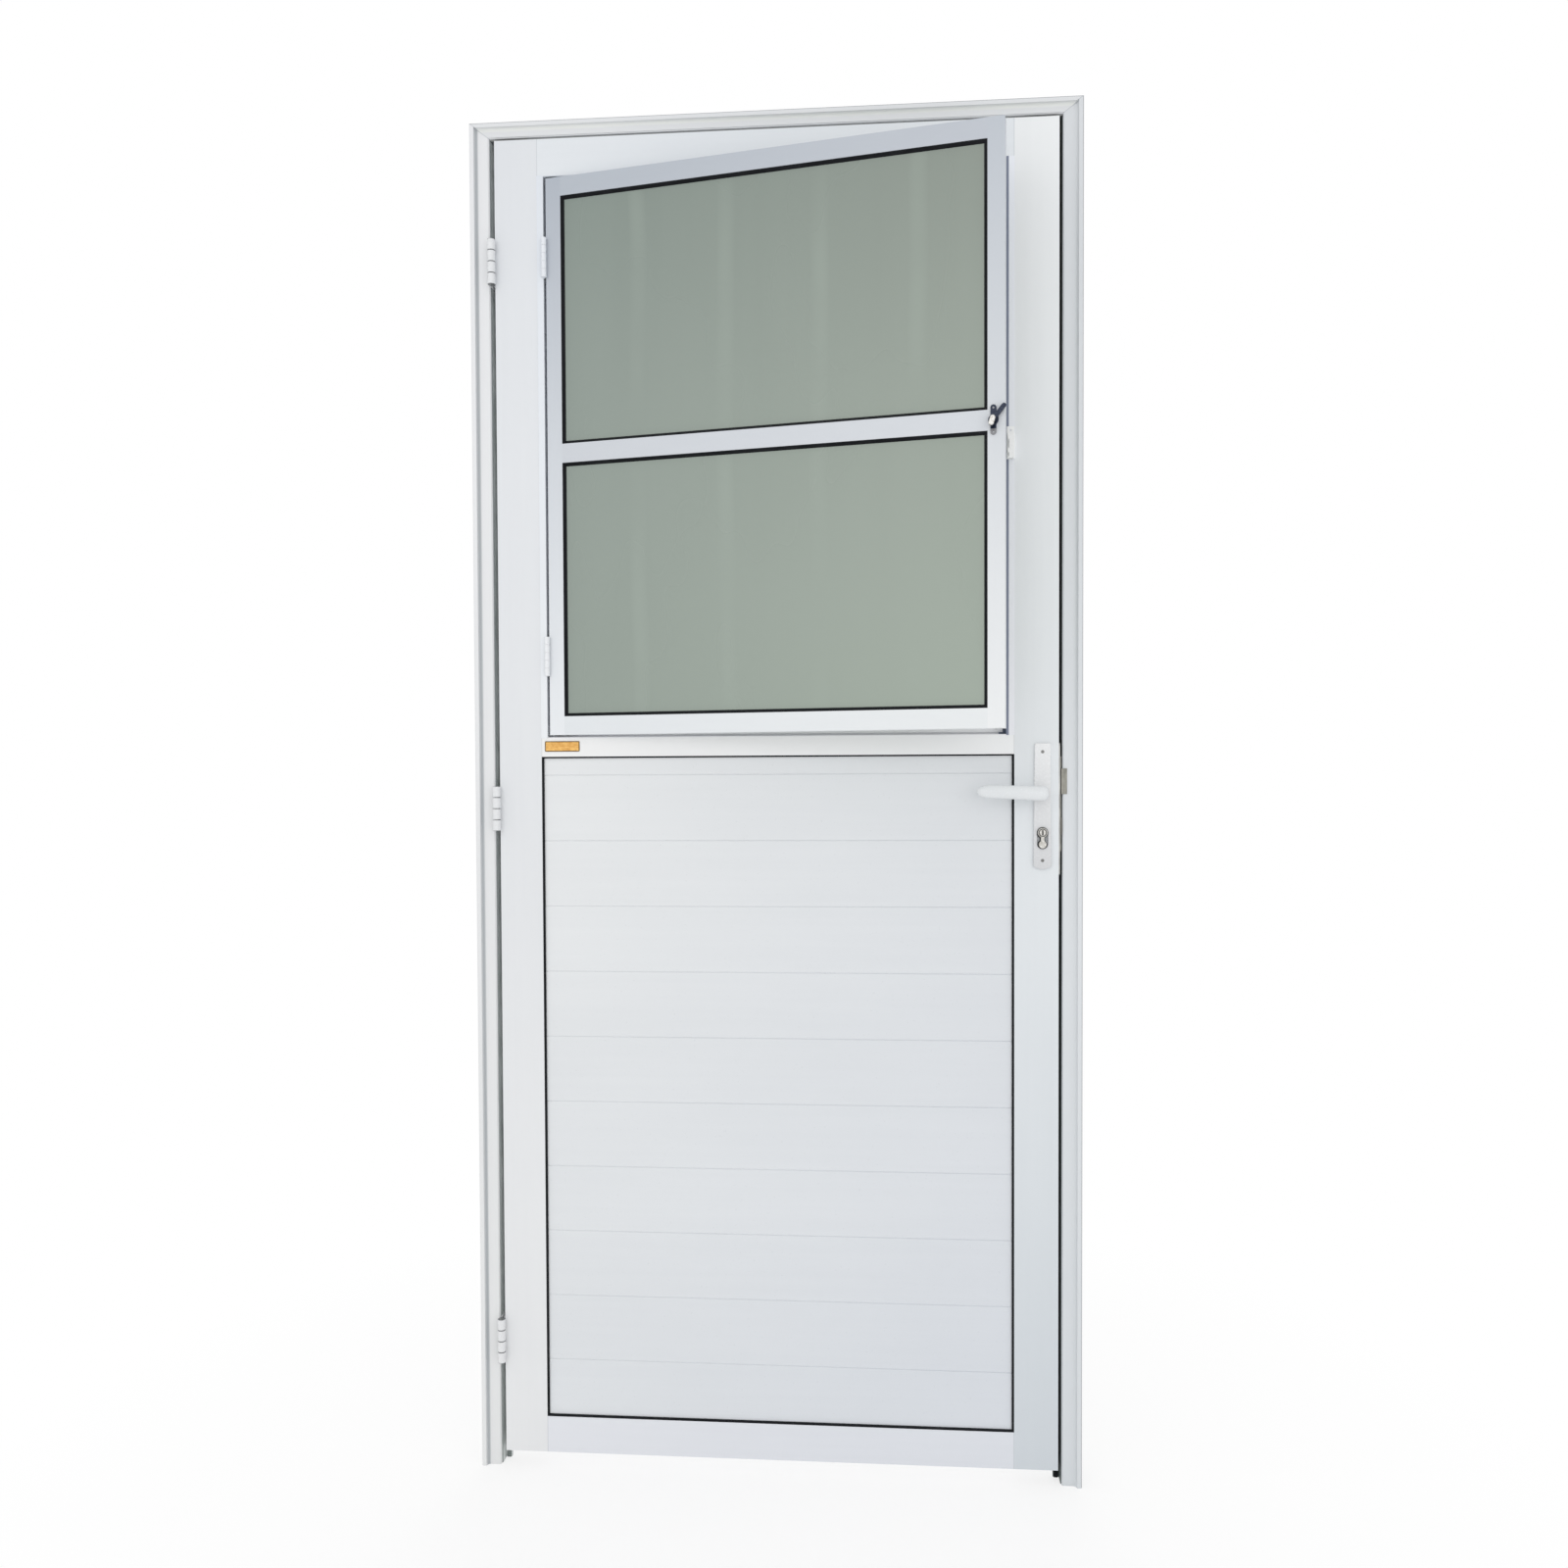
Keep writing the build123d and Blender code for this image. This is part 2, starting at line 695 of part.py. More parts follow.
def planks():
    """Planks stacked from the bottom rail up; the last is cut to fit under the middle rail."""
    x0 = inner_left - channel_depth + plank_end_clearance
    x1 = inner_right + channel_depth - plank_end_clearance
    section = Plane.YZ * plank_section()
    ceiling = panel_top + channel_depth - plank_end_clearance
    boards = []
    base = channel_floor
    while base < ceiling - tongue_height:
        board = Pos(x0, 0, base) * extrude(section, amount=x1 - x0)
        if base + plank_pitch + tongue_height > ceiling:
            board &= block(x0 - 1, plank_front - 1, base - 1, x1 + 1, plank_back + 1, ceiling)
        boards.append(board)
        base += plank_pitch
    return boards


def gasket_strip(edge_start, across, length, show, rear_show, end_trim):
    """Front and rear rubber strips along one side of the panel; u = 0 is the profile's inner edge."""
    lip_front = leaf_front + leaf_wall
    lip_back = leaf_back - leaf_wall
    run = Vector(*across).cross(Vector(0, 1, 0))
    strips = []
    for grip_v, nose_v, nose in (
        ((lip_front, plank_front), (leaf_front + gasket_bulge, plank_front), show),
        ((plank_back, lip_back), (plank_back, leaf_back - gasket_bulge), rear_show),
    ):
        grip = flat(-gasket_grip, grip_v[0], 0, grip_v[1])
        tip = flat(0, nose_v[0], nose, nose_v[1])
        strip = bar(grip, edge_start, across, length)
        nose_start = Vector(*edge_start) + run * end_trim
        strip += bar(tip, tuple(nose_start), across, length - 2 * end_trim)
        strips.append(strip)
    return strips


def panel_gaskets():
    """Rubber on both faces of the planks, all the way round."""
    tall = panel_top - panel_bottom
    wide = inner_right - inner_left
    side = (gasket_show, rear_gasket_show)
    strips = gasket_strip((inner_left, 0, panel_bottom), (1, 0, 0), tall, *side, 0)
    strips += gasket_strip((inner_right, 0, panel_top), (-1, 0, 0), tall, *side, 0)
    strips += gasket_strip((inner_right, 0, panel_bottom), (0, 0, 1), wide, *side, gasket_show)
    strips += gasket_strip((inner_left, 0, panel_top), (0, 0, -1), wide, gasket_show_top,
                           rear_gasket_show, gasket_show)
    return strips


def build_leaf():
    """Stiles, rails, planks, gaskets and tie screws."""
    hinge_stile, lock_stile = stiles()
    save("hinge_stile", hinge_stile)
    save("lock_stile", lock_stile)
    save("top_rail", rail(leaf_section(rail_width, 0, top_ports), leaf_top, (0, 0, -1)))
    save("mid_rail", rail(leaf_section(mid_rail_width, channel_depth, mid_ports),
                          mid_rail_top, (0, 0, -1)))
    save("bottom_rail", rail(leaf_section(rail_width, channel_depth, bottom_ports),
                             leaf_bottom, (0, 0, 1)))
    for number, board in enumerate(planks(), start=1):
        save(f"plank_{number:02d}", board)
    save("panel_gaskets", *panel_gaskets())
    save("rail_tie_screws", *tie_screws())


# Hatch frame

def hatch_side_section(width):
    """Box strip with two tongues in the stile's channel and a fin that the hatch closes on."""
    t = hatch_strip_wall
    box = flat(0, strip_face, width, leaf_back)
    box -= flat(t, strip_face + t, width - t, leaf_back - t)
    lip = leaf_wall + 0.2
    tongues = flat(-7, leaf_front + lip, 0, leaf_front + lip + t)
    tongues += flat(-7, leaf_back - lip - t, 0, leaf_back - lip)
    fin = flat(width, hatch_fin_back - t, width + hatch_fin, hatch_fin_back)
    return box + tongues + fin


def hatch_cross_section():
    """Lining on the rail's edge with the same fin at its back."""
    lining = flat(0, leaf_front, hatch_lining, leaf_back)
    fin = flat(hatch_lining, hatch_fin_back - hatch_strip_wall, hatch_lining + hatch_fin,
               hatch_fin_back)
    return lining + fin


def hatch_seals():
    """Rubber strips on the fins, just clear of the closed hatch."""
    front = sash_back + seal_clearance
    back = hatch_fin_back - hatch_strip_wall
    x0, x1 = opening_left, opening_right
    z0, z1 = mid_rail_top + hatch_lining, hatch_top - hatch_lining
    near, far = hatch_gap + 0.5, hatch_fin - 0.6
    strips = [
        block(x0 + near, front, z0 + far, x0 + far, back, z1 - far),
        block(x1 - far, front, z0 + far, x1 - near, back, z1 - far),
        block(x0 + near, front, z0 + near, x1 - near, back, z0 + far),
        block(x0 + near, front, z1 - far, x1 - near, back, z1 - near),
    ]
    return [fillet(strip.faces().sort_by(Axis.Y)[0].edges(), 0.7) for strip in strips]


def keeper():
    """Hooked block on the lock-side strip, open towards the hatch and at its top."""
    x0 = opening_right + (hatch_strip_lock - keeper_width) / 2
    x1 = x0 + keeper_width
    z0 = latch_pivot_z - keeper_height / 2
    front = strip_face - keeper_depth
    base = block(x0, strip_face - keeper_base, z0, x1, strip_face, z0 + keeper_height)
    wall = block(x1 - keeper_wall, front, z0, x1, strip_face, z0 + keeper_hook)
    lip_x = x0 + 0.5
    lip = block(lip_x, front, z0, x1, front + keeper_lip, z0 + keeper_hook)
    hook = wall + lip
    hook = fillet(hook.edges().filter_by(Axis.Z).sort_by(Axis.Y)[:2], 0.9)
    for low, high in keeper_notches:
        notch = block(lip_x - 1, front - 1, z0 + low, lip_x + keeper_notch_depth,
                      front + keeper_lip + 1, z0 + high)
        hook -= fillet(notch.edges().filter_by(Axis.Y).sort_by(Axis.X)[2:], 2.0)
    screw = rod(3.2, (x0 + keeper_width / 2, strip_face - keeper_base - 1, z0 + keeper_height - 6),
                (0, 1, 0), keeper_base + 2)
    return base + hook - screw


def build_hatch_frame():
    """Strips, cross members, seals and keeper round the hatch."""
    tall = hatch_top - mid_rail_top
    hinge_side = hatch_side_section(hatch_strip_hinge)
    lock_side = hatch_side_section(hatch_strip_lock)
    save("hatch_frame_hinge_side", bar(hinge_side, (inner_left, 0, mid_rail_top), (1, 0, 0), tall))
    save("hatch_frame_lock_side", bar(lock_side, (inner_right, 0, hatch_top), (-1, 0, 0), tall))
    x0, x1 = opening_left, opening_right
    cross = hatch_cross_section()
    sill = bar(cross, (x1, 0, mid_rail_top), (0, 0, 1), x1 - x0)
    head = bar(cross, (x0, 0, hatch_top), (0, 0, -1), x1 - x0)
    t0, t1 = hatch_fin_back - hatch_strip_wall, hatch_fin_back
    for x in (x0, x1 - hatch_fin):
        sill -= block(x, t0, mid_rail_top, x + hatch_fin, t1, mid_rail_top + 2 * hatch_fin)
        head -= block(x, t0, hatch_top - 2 * hatch_fin, x + hatch_fin, t1, hatch_top)
    save("hatch_frame_cross_members", sill, head)
    save("hatch_frame_seals", *hatch_seals())
    save("hatch_keeper", keeper())


# Hatch

def sash_section(width, channels):
    """Hollow profile, 20 deep, with a glass channel on one edge ("inner") or on both."""
    t = sash_wall
    section = flat(0, strip_face, width, sash_back)
    low = glass_channel if channels == "both" else 0
    high = width - glass_channel
    section -= flat(low + t, strip_face + t, high - t, sash_back - t)
    lip_back = strip_face + back_lip
    edges = [(high, width)] + ([(0, low)] if low else [])
    for a, b in edges:
        section -= flat(a, strip_face + t, b, lip_back - t)
        section -= flat(a, lip_back, b, sash_back)
    return section


def sash_rail_bar(section, edge, across):
    """Rail of the hatch, notched to pass between the lips of its stiles."""
    x0 = sash_left + sash_stile - glass_channel
    x1 = sash_right - sash_stile + glass_channel
    start = x0 if across[2] < 0 else x1
    body = bar(section, (start, 0, edge), across, x1 - x0)
    c = notch_clearance
    lip_back = strip_face + back_lip
    for a, b in ((x0, x0 + glass_channel), (x1 - glass_channel, x1)):
        body -= block(a, strip_face, 0, b, strip_face + sash_wall + c, nominal_height)
        body -= block(a, lip_back - sash_wall - c, 0, b, lip_back + c, nominal_height)
    return body


pane_heights = (
    (sash_bottom + sash_rail, bar_middle - sash_bar / 2),
    (bar_middle + sash_bar / 2, sash_top - sash_rail),
)


def pane(z0, z1):
    """Sheet of glass that reaches into the channels all round."""
    reach = pane_edge_cover
    front = strip_face + glass_setback
    return block(sash_left + sash_stile - reach, front, z0 - reach,
                 sash_right - sash_stile + reach, front + glass_thickness, z1 + reach)


def pane_gasket(z0, z1):
    """Rubber channel wrapped round one pane, mitred at its four corners."""
    front = strip_face + glass_setback
    back = front + glass_thickness
    lip_in = strip_face + sash_wall + 0.2
    lip_out = strip_face + back_lip - sash_wall - 0.2
    g, s, e = pane_gasket_grip, pane_gasket_show, pane_edge_cover + 0.2
    section = outline(
        (-g, lip_in), (0.3, lip_in), (0.3, strip_face + 0.4), (1.6, strip_face + 0.4),
        (s, front - 0.5), (s, front), (-e, front), (-e, back), (s, back), (s, back + 0.5),
        (0.3, lip_out), (-g, lip_out),
    )
    x0, x1 = sash_left + sash_stile, sash_right - sash_stile
    wide, tall = x1 - x0, z1 - z0
    out = 2 * g
    sides = [
        bar(section, (x0, 0, z0 - out), (1, 0, 0), tall + 2 * out),
        bar(section, (x1, 0, z1 + out), (-1, 0, 0), tall + 2 * out),
        bar(section, (x1 + out, 0, z0), (0, 0, 1), wide + 2 * out),
        bar(section, (x0 - out, 0, z1), (0, 0, -1), wide + 2 * out),
    ]
    corners = [((x0, 0, z0), 1, 1), ((x1, 0, z0), -1, 1), ((x0, 0, z1), 1, -1),
               ((x1, 0, z1), -1, -1)]
    mine = {0: (0, 2), 1: (1, 3), 2: (0, 1), 3: (2, 3)}
    ring = None
    for index, side in enumerate(sides):
        for corner in mine[index]:
            origin, sx, sz = corners[corner]
            toward = (sx, 0, -sz) if index in (2, 3) else (-sx, 0, sz)
            side = split(side, bisect_by=Plane(origin=origin, z_dir=toward), keep=Keep.TOP)
        ring = side if ring is None else ring + side
    return ring


def hatch_hinge_leaves(side):
    """The two hinge leaves on one side of the hatch; the frame side carries the riveted pins."""
    on_frame = side == "frame"
    plate_x = opening_left if on_frame else sash_left - small_plate
    bore = small_pin_diameter + (-0.2 if on_frame else 2 * pin_clearance)
    halves = []
    for middle in (sash_bottom + hatch_hinge_inset, sash_top - hatch_hinge_inset):
        half = hinge_half(hatch_hinge, hatch_hinge_x, hatch_hinge_y, middle, bore,
                          0 if on_frame else 1, plate_x)
        if on_frame:
            foot = middle - small_barrel_height / 2 + 0.2
            half += rod(small_pin_diameter, (hatch_hinge_x, hatch_hinge_y, foot), (0, 0, 1),
                        small_barrel_height - 0.4)
        halves.append(half)
    return halves


def hatch_latch_base():
    """Upright plate on the hatch's lock stile: round boss, and an ear with a screw hole each way."""
    plane = Plane(origin=(latch_x, strip_face, latch_pivot_z), x_dir=(1, 0, 0), z_dir=(0, -1, 0))
    ears = SlotCenterToCenter(2 * ear_reach, ear_width, rotation=90)
    ears = extrude(plane * ears, amount=rosette_thickness - 0.6)
    boss = extrude(plane * Circle(rosette_diameter / 2), amount=rosette_thickness)
    boss = chamfer(boss.faces().sort_by(Axis.Y)[0].edges(), 0.5)
    base = ears + boss - extrude(plane * Circle(latch_shaft / 2 + 0.1), amount=6)
    for z in (-ear_reach, ear_reach):
        base -= extrude(plane * (Pos(0, z) * Circle(ear_screw / 2)), amount=6)
    return base


def hatch_latch_turn():
    """Shaft, hub, locking arm and thumb knob, turned as one."""
    def plane(depth, angle):
        return Plane(origin=(latch_x, strip_face - depth, latch_pivot_z), z_dir=(0, -1, 0),
                     x_dir=(cos(radians(angle)), 0, sin(radians(angle))))

    shaft = extrude(plane(0.3, 0) * Circle(latch_shaft / 2), amount=rosette_thickness + 1)
    hub_back = rosette_thickness + 0.3
    hub = extrude(plane(hub_back, 0) * Circle(latch_hub / 2), amount=latch_proud - hub_back)
    arm = flat(0, -arm_width / 2, arm_length, arm_width / 2)
    arm += Pos(arm_length, 0) * Circle(arm_width / 2)
    arm = extrude(plane(arm_front - arm_thickness, arm_angle) * arm, amount=arm_thickness)
    knob = Pos(knob_length / 4, 0) * SlotOverall(knob_length, knob_width)
    knob = extrude(plane(latch_proud - 0.5, knob_angle) * knob, amount=knob_height)
    knob = fillet(knob.faces().sort_by(Axis.Y)[0].edges(), 1.2)
    return shaft + hub + arm + knob


def build_hatch():
    """Sash, panes, gaskets, hinges and latch, all turned to the angle ajar."""
    tall = sash_top - sash_bottom
    stile = sash_section(sash_stile, "inner")
    hinge_stile = bar(stile, (sash_left, 0, sash_bottom), (1, 0, 0), tall)
    lock_stile = bar(stile, (sash_right, 0, sash_top), (-1, 0, 0), tall)
    save("hatch_hinge_stile", swing_open(hinge_stile))
    save("hatch_lock_stile", swing_open(lock_stile))
    end_rail = sash_section(sash_rail, "inner")
    save("hatch_top_rail", swing_open(sash_rail_bar(end_rail, sash_top, (0, 0, -1))))
    save("hatch_bottom_rail", swing_open(sash_rail_bar(end_rail, sash_bottom, (0, 0, 1))))
    middle_bar = sash_section(sash_bar, "both")
    save("hatch_bar", swing_open(sash_rail_bar(middle_bar, bar_middle + sash_bar / 2, (0, 0, -1))))
    save("lower_pane", swing_open(pane(*pane_heights[0])))
    save("upper_pane", swing_open(pane(*pane_heights[1])))
    save("pane_gaskets", *[swing_open(pane_gasket(*heights)) for heights in pane_heights])
    save("hatch_hinge_frame_leaves", *hatch_hinge_leaves("frame"))
    save("hatch_hinge_sash_leaves", *[swing_open(half) for half in hatch_hinge_leaves("sash")])
    save("hatch_latch_base", swing_open(hatch_latch_base()))
    save("hatch_latch_turn", swing_open(hatch_latch_turn()))


# Lock

def cylinder_profile(growth, y0, y1):
    """Figure-of-eight outline of the lock cylinder, extruded along Y."""
    low_z = plug_height + barrel_top_diameter / 2 - barrel_total + barrel_low_diameter / 2
    plane = Plane(origin=(lock_x, y0, plug_height), x_dir=(1, 0, 0), z_dir=(0, 1, 0))
    drop = plug_height - low_z
    profile = Circle(barrel_top_diameter / 2 + growth)
    profile += Pos(0, drop) * Circle(barrel_low_diameter / 2 + growth)
    profile += flat(-barrel_waist / 2 - growth, 0, barrel_waist / 2 + growth, drop)
    return extrude(plane * profile, amount=y1 - y0)


def cylinder_body():
    """Cylinder housing, cut across for the cam and bored for the plug."""
    y0, y1 = front_plate_face - cylinder_proud, back_plate_face + cylinder_proud
    body = cylinder_profile(0, y0, y1)
    reach = cam_radius + 0.8
    body -= block(lock_x - reach, cam_span[0] - 0.3, plug_height - reach,
                  lock_x + reach, cam_span[1] + 0.3, plug_height + reach)
    return body - rod(plug_diameter + 2 * plug_clearance, (lock_x, y0 - 1, plug_height),
                      (0, 1, 0), y1 - y0 + 2)


def cylinder_plug():
    """Plug with a keyway at each end and the cam at its middle, nose down at rest."""
    y0, y1 = front_plate_face - cylinder_proud - 0.2, back_plate_face + cylinder_proud + 0.2
    plug = rod(plug_diameter, (lock_x, y0, plug_height), (0, 1, 0), y1 - y0)
    nose = block(lock_x - 3.2, cam_span[0], plug_height - cam_radius, lock_x + 3.2, cam_span[1],
                 plug_height)
    for start in (y0, y1 - 10):
        plug -= block(lock_x - keyway[0] / 2, start, plug_height - keyway[1] / 2,
                      lock_x + keyway[0] / 2, start + 10, plug_height + keyway[1] / 2)
    return plug + nose


def bolt_openings(growth):
    """Openings for latch and deadbolt through the forend and the front of the case."""
    holes = []
    for height, size in ((latch_z, latch_height), (deadbolt_z, deadbolt_height)):
        half = size / 2 + growth
        holes.append(block(leaf_right - 5, bolt_front - growth, height - half,
                           leaf_right + 5, bolt_back + growth, height + half))
    return holes


def lock_case():
    """Hollow steel case with its forend, opened for spindle, cylinder, bolts and plate screws."""
    x0, x1 = leaf_right - 2 - case_width, leaf_right
    z0, z1 = hub_height - case_bottom, hub_height + case_top
    case = block(x0, case_front, z0, x1, case_back, z1)
    w = case_wall
    case -= block(x0 + w, case_front + w, z0 + w, x1 - w, case_back - w, z1 - w)
    forend = block(x1, leaf_middle - forend_width / 2, hub_height - forend_bottom,
                   x1 + forend_thickness, leaf_middle + forend_width / 2, hub_height + forend_top)
    case += forend
    for hole in bolt_openings(bolt_clearance):
        case -= hole
    case -= rod(follower_diameter + 0.2, (lock_x, case_front - 1, hub_height), (0, 1, 0),
                case_back - case_front + 2)
    case -= cylinder_profile(0.2, case_front - 1, case_back + 1)
    for z in forend_screw_heights:
        case -= screw_hole((x1 + forend_thickness, leaf_middle, z), (-1, 0, 0))
    return case


def latch_bolt():
    """Sprung bolt, bevelled on the side that meets the strike when the door closes."""
    tip = leaf_right + forend_thickness + latch_throw
    x0 = leaf_right - latch_tail
    z0, z1 = latch_z - latch_height / 2, latch_z + latch_height / 2
    bevel_start = leaf_right + forend_thickness + 0.5
    profile = Polyline((x0, bolt_front), (tip, bolt_front), (tip, bolt_front + 1.2),
                       (bevel_start, bolt_back), (x0, bolt_back), close=True)
    return Pos(0, 0, z0) * extrude(make_face(profile), amount=z1 - z0)


def deadbolt():
    """Square bolt with a tail that reaches over the cam and is notched for it."""
    tip = leaf_right + forend_thickness - 0.2
    half = deadbolt_height / 2
    bolt = block(tip - deadbolt_length, bolt_front, deadbolt_z - half, tip, bolt_back,
                 deadbolt_z + half)
    tail_low = plug_height + cam_radius + 1.2
    tail = block(lock_x - 14, cam_span[0] + 0.6, tail_low, tip - deadbolt_length + 1,
                 cam_span[1] - 0.6, deadbolt_z + half)
    notch_x = lock_x - deadbolt_throw / 2
    tail -= block(notch_x - 5, bolt_front, tail_low, notch_x + 5, bolt_back, tail_low + 4)
    return bolt + tail


def spindle():
    """Square spindle with the follower of the lock pressed on it."""
    reach = grip_reach - 4
    half = spindle_size / 2
    shank = block(lock_x - half, front_plate_face - reach, hub_height - half,
                  lock_x + half, back_plate_face + reach, hub_height + half)
    hub = rod(follower_diameter, (lock_x, case_front + 0.1, hub_height), (0, 1, 0),
              case_back - case_front - 0.2)
    arm = block(lock_x - 2.5, case_front + case_wall + 0.2, hub_height, lock_x + 2.5,
                bolt_front - 0.3, hub_height + 21)
    return shank + hub + arm


def oval(x, y, z, normal, depth, height):
    """Elliptical section of the lever, upright, facing along a level direction."""
    across = (0, 1, 0) if normal[0] else (1, 0, 0)
    return Plane(origin=(x, y, z), x_dir=across, z_dir=normal) * Ellipse(depth / 2, height / 2)


def lever():
    """Front lever: round neck, a bend, and a tapered grip with a long rounded tip."""
    neck_y = leaf_front - 0.3
    flare_y = neck_y - neck_length
    grip_y = front_plate_face - grip_reach
    bend_y = grip_y + grip_bend
    bend_x = lock_x - grip_bend
    tip_x = lock_x - grip_length + tip_rounding
    tip_z = hub_height + tip_rise
    outward, along = (0, -1, 0), (-1, 0, 0)

    neck = rod(neck_diameter, (lock_x, neck_y, hub_height), outward, neck_length)
    flare = loft([
        oval(lock_x, flare_y, hub_height, outward, neck_diameter, neck_diameter),
        oval(lock_x, bend_y, hub_height, outward, grip_depth, grip_height),
    ])
    bend = revolve(oval(lock_x, bend_y, hub_height, outward, grip_depth, grip_height),
                   Axis((bend_x, bend_y, 0), (0, 0, 1)), revolution_arc=-90)
    grip = loft([
        oval(bend_x, grip_y, hub_height, along, grip_depth, grip_height),
        oval(tip_x, grip_y, tip_z, along, tip_depth, tip_height),
    ])
    half = make_face([
        Line((0, 0), (0, tip_height / 2)),
        EllipticalCenterArc((0, 0), tip_rounding, tip_height / 2, start_angle=90, arc_size=90),
        Line((-tip_rounding, 0), (0, 0)),
    ])
    tip = scale(revolve(half, Axis.X), by=(1, tip_depth / tip_height, 1))

    hole = spindle_size / 2 + spindle_clearance
    socket = block(lock_x - hole, grip_y + 3.5, hub_height - hole,
                   lock_x + hole, leaf_front + 1, hub_height + hole)
    return neck + flare + bend + grip + Pos(tip_x, grip_y, tip_z) * tip - socket


def plate_outline():
    """Long plate, wider at its foot: small corners at the top, one shallow arc at the bottom."""
    half = plate_width / 2
    top_half = plate_top_width / 2
    top = hub_height + plate_top
    low = hub_height - plate_bottom
    face = make_face([
        Polyline((-half, low + plate_arc), (-top_half, top), (top_half, top),
                 (half, low + plate_arc)),
        ThreePointArc((half, low + plate_arc), (0, low), (-half, low + plate_arc)),
    ])
    return fillet(face.vertices().group_by(Axis.Y)[-1], 3.0)


def handle_plate():
    """Front plate: a shallow shell with bosses for its screws and holes for neck and cylinder."""
    back_plane = Plane(origin=(lock_x, leaf_front, 0), x_dir=(1, 0, 0), z_dir=(0, -1, 0))
    plate = extrude(back_plane * plate_outline(), amount=plate_thickness)
    plate = fillet(plate.faces().sort_by(Axis.Y)[0].edges(), 1.0)
    recess = extrude(back_plane * offset(plate_outline(), amount=-plate_rim),
                     amount=plate_thickness - plate_skin)
    for z, size in [(hub_height + o, plate_screw_diameter + 5) for o in plate_screws] + [
        (hub_height, neck_diameter + 4)
    ]:
        recess -= rod(size, (lock_x, leaf_front + 1, z), (0, -1, 0), plate_thickness + 2)
    plate -= recess
    plate -= rod(neck_diameter + 2 * neck_clearance, (lock_x, leaf_front + 1, hub_height),
                 (0, -1, 0), plate_thickness + 2)
    radius = barrel_top_diameter / 2 + cylinder_hole_clearance
    oval_low = plug_height + barrel_top_diameter / 2 - barrel_total + barrel_top_diameter / 2
    for z in (plug_height, oval_low):
        plate -= rod(2 * radius, (lock_x, leaf_front + 1, z), (0, -1, 0), plate_thickness + 2)
    plate -= block(lock_x - radius, front_plate_face - 1, oval_low, lock_x + radius,
                   leaf_front + 1, plug_height)
    for o in plate_screws:
        plate -= rod(plate_screw_diameter + 0.2, (lock_x, leaf_front + 1, hub_height + o),
                     (0, -1, 0), plate_thickness + 2)
    return plate


def plate_screw(height):
    """Through screw with a slotted head sunk in the front plate and a sleeve nut at the back."""
    y0, y1 = front_plate_face + 0.4, back_plate_face - 0.4
    screw = rod(plate_screw_diameter, (lock_x, y0, height), (0, 1, 0), y1 - y0)
    for y in (y0, y1 - 1):
        screw -= block(lock_x - 2, y, height - 0.4, lock_x + 2, y + 1, height + 0.4)
    return screw


def build_lock():
    """Case, bolts, cylinder, levers and plates."""
    mirror_plane = Plane(origin=(0, leaf_middle, 0), z_dir=(0, 1, 0))
    save("lock_case", lock_case())
    save("latch_bolt", latch_bolt())
    save("deadbolt", deadbolt())
    save("cylinder_body", cylinder_body())
    save("cylinder_plug", cylinder_plug())
    save("spindle", spindle())
    front = lever()
    save("front_lever", front)
    save("back_lever", mirror(front, about=mirror_plane))
    plate = handle_plate()
    save("front_plate", plate)
    save("back_plate", mirror(plate, about=mirror_plane))
    save("plate_screws", *[plate_screw(hub_height + o) for o in plate_screws])


os.makedirs("parts", exist_ok=True)
build_frame()
build_hinges()
build_leaf()
build_hatch_frame()
build_hatch()
build_lock()
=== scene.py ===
import bpy
import json
from math import pi, radians
from mathutils import Matrix, Vector


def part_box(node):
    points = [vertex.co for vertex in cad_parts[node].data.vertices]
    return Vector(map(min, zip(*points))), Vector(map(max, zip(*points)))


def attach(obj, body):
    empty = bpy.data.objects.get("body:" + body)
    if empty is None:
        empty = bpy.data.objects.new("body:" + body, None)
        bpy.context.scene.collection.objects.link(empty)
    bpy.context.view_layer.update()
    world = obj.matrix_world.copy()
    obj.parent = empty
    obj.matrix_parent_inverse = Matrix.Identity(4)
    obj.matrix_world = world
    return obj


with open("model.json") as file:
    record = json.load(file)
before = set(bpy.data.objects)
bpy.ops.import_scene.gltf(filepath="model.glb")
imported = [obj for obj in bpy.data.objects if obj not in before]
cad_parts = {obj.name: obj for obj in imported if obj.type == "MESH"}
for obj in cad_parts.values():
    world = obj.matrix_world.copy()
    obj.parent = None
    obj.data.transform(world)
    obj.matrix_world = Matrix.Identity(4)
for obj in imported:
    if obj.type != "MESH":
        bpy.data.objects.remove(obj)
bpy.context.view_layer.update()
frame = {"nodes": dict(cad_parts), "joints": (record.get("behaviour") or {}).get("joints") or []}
nodes = frame["nodes"]


# A Signal is a shader socket that can be added, taken away and multiplied
class Signal:
    def __init__(self, finish, socket):
        self.finish = finish
        self.socket = socket

    def arith(self, operation, first, second=None):
        return self.finish.node("ShaderNodeMath", {"operation": operation}, first, second)

    def __add__(self, other):
        return self.arith("ADD", self, other)

    __radd__ = __add__

    def __sub__(self, other):
        return self.arith("SUBTRACT", self, other)

    def __rsub__(self, other):
        return self.arith("SUBTRACT", other, self)

    def __mul__(self, other):
        return self.arith("MULTIPLY", self, other)

    __rmul__ = __mul__

    def unsigned(self):
        return self.arith("ABSOLUTE", self)

    def larger(self, other):
        return self.arith("MAXIMUM", self, other)

    def smaller(self, other):
        return self.arith("MINIMUM", self, other)


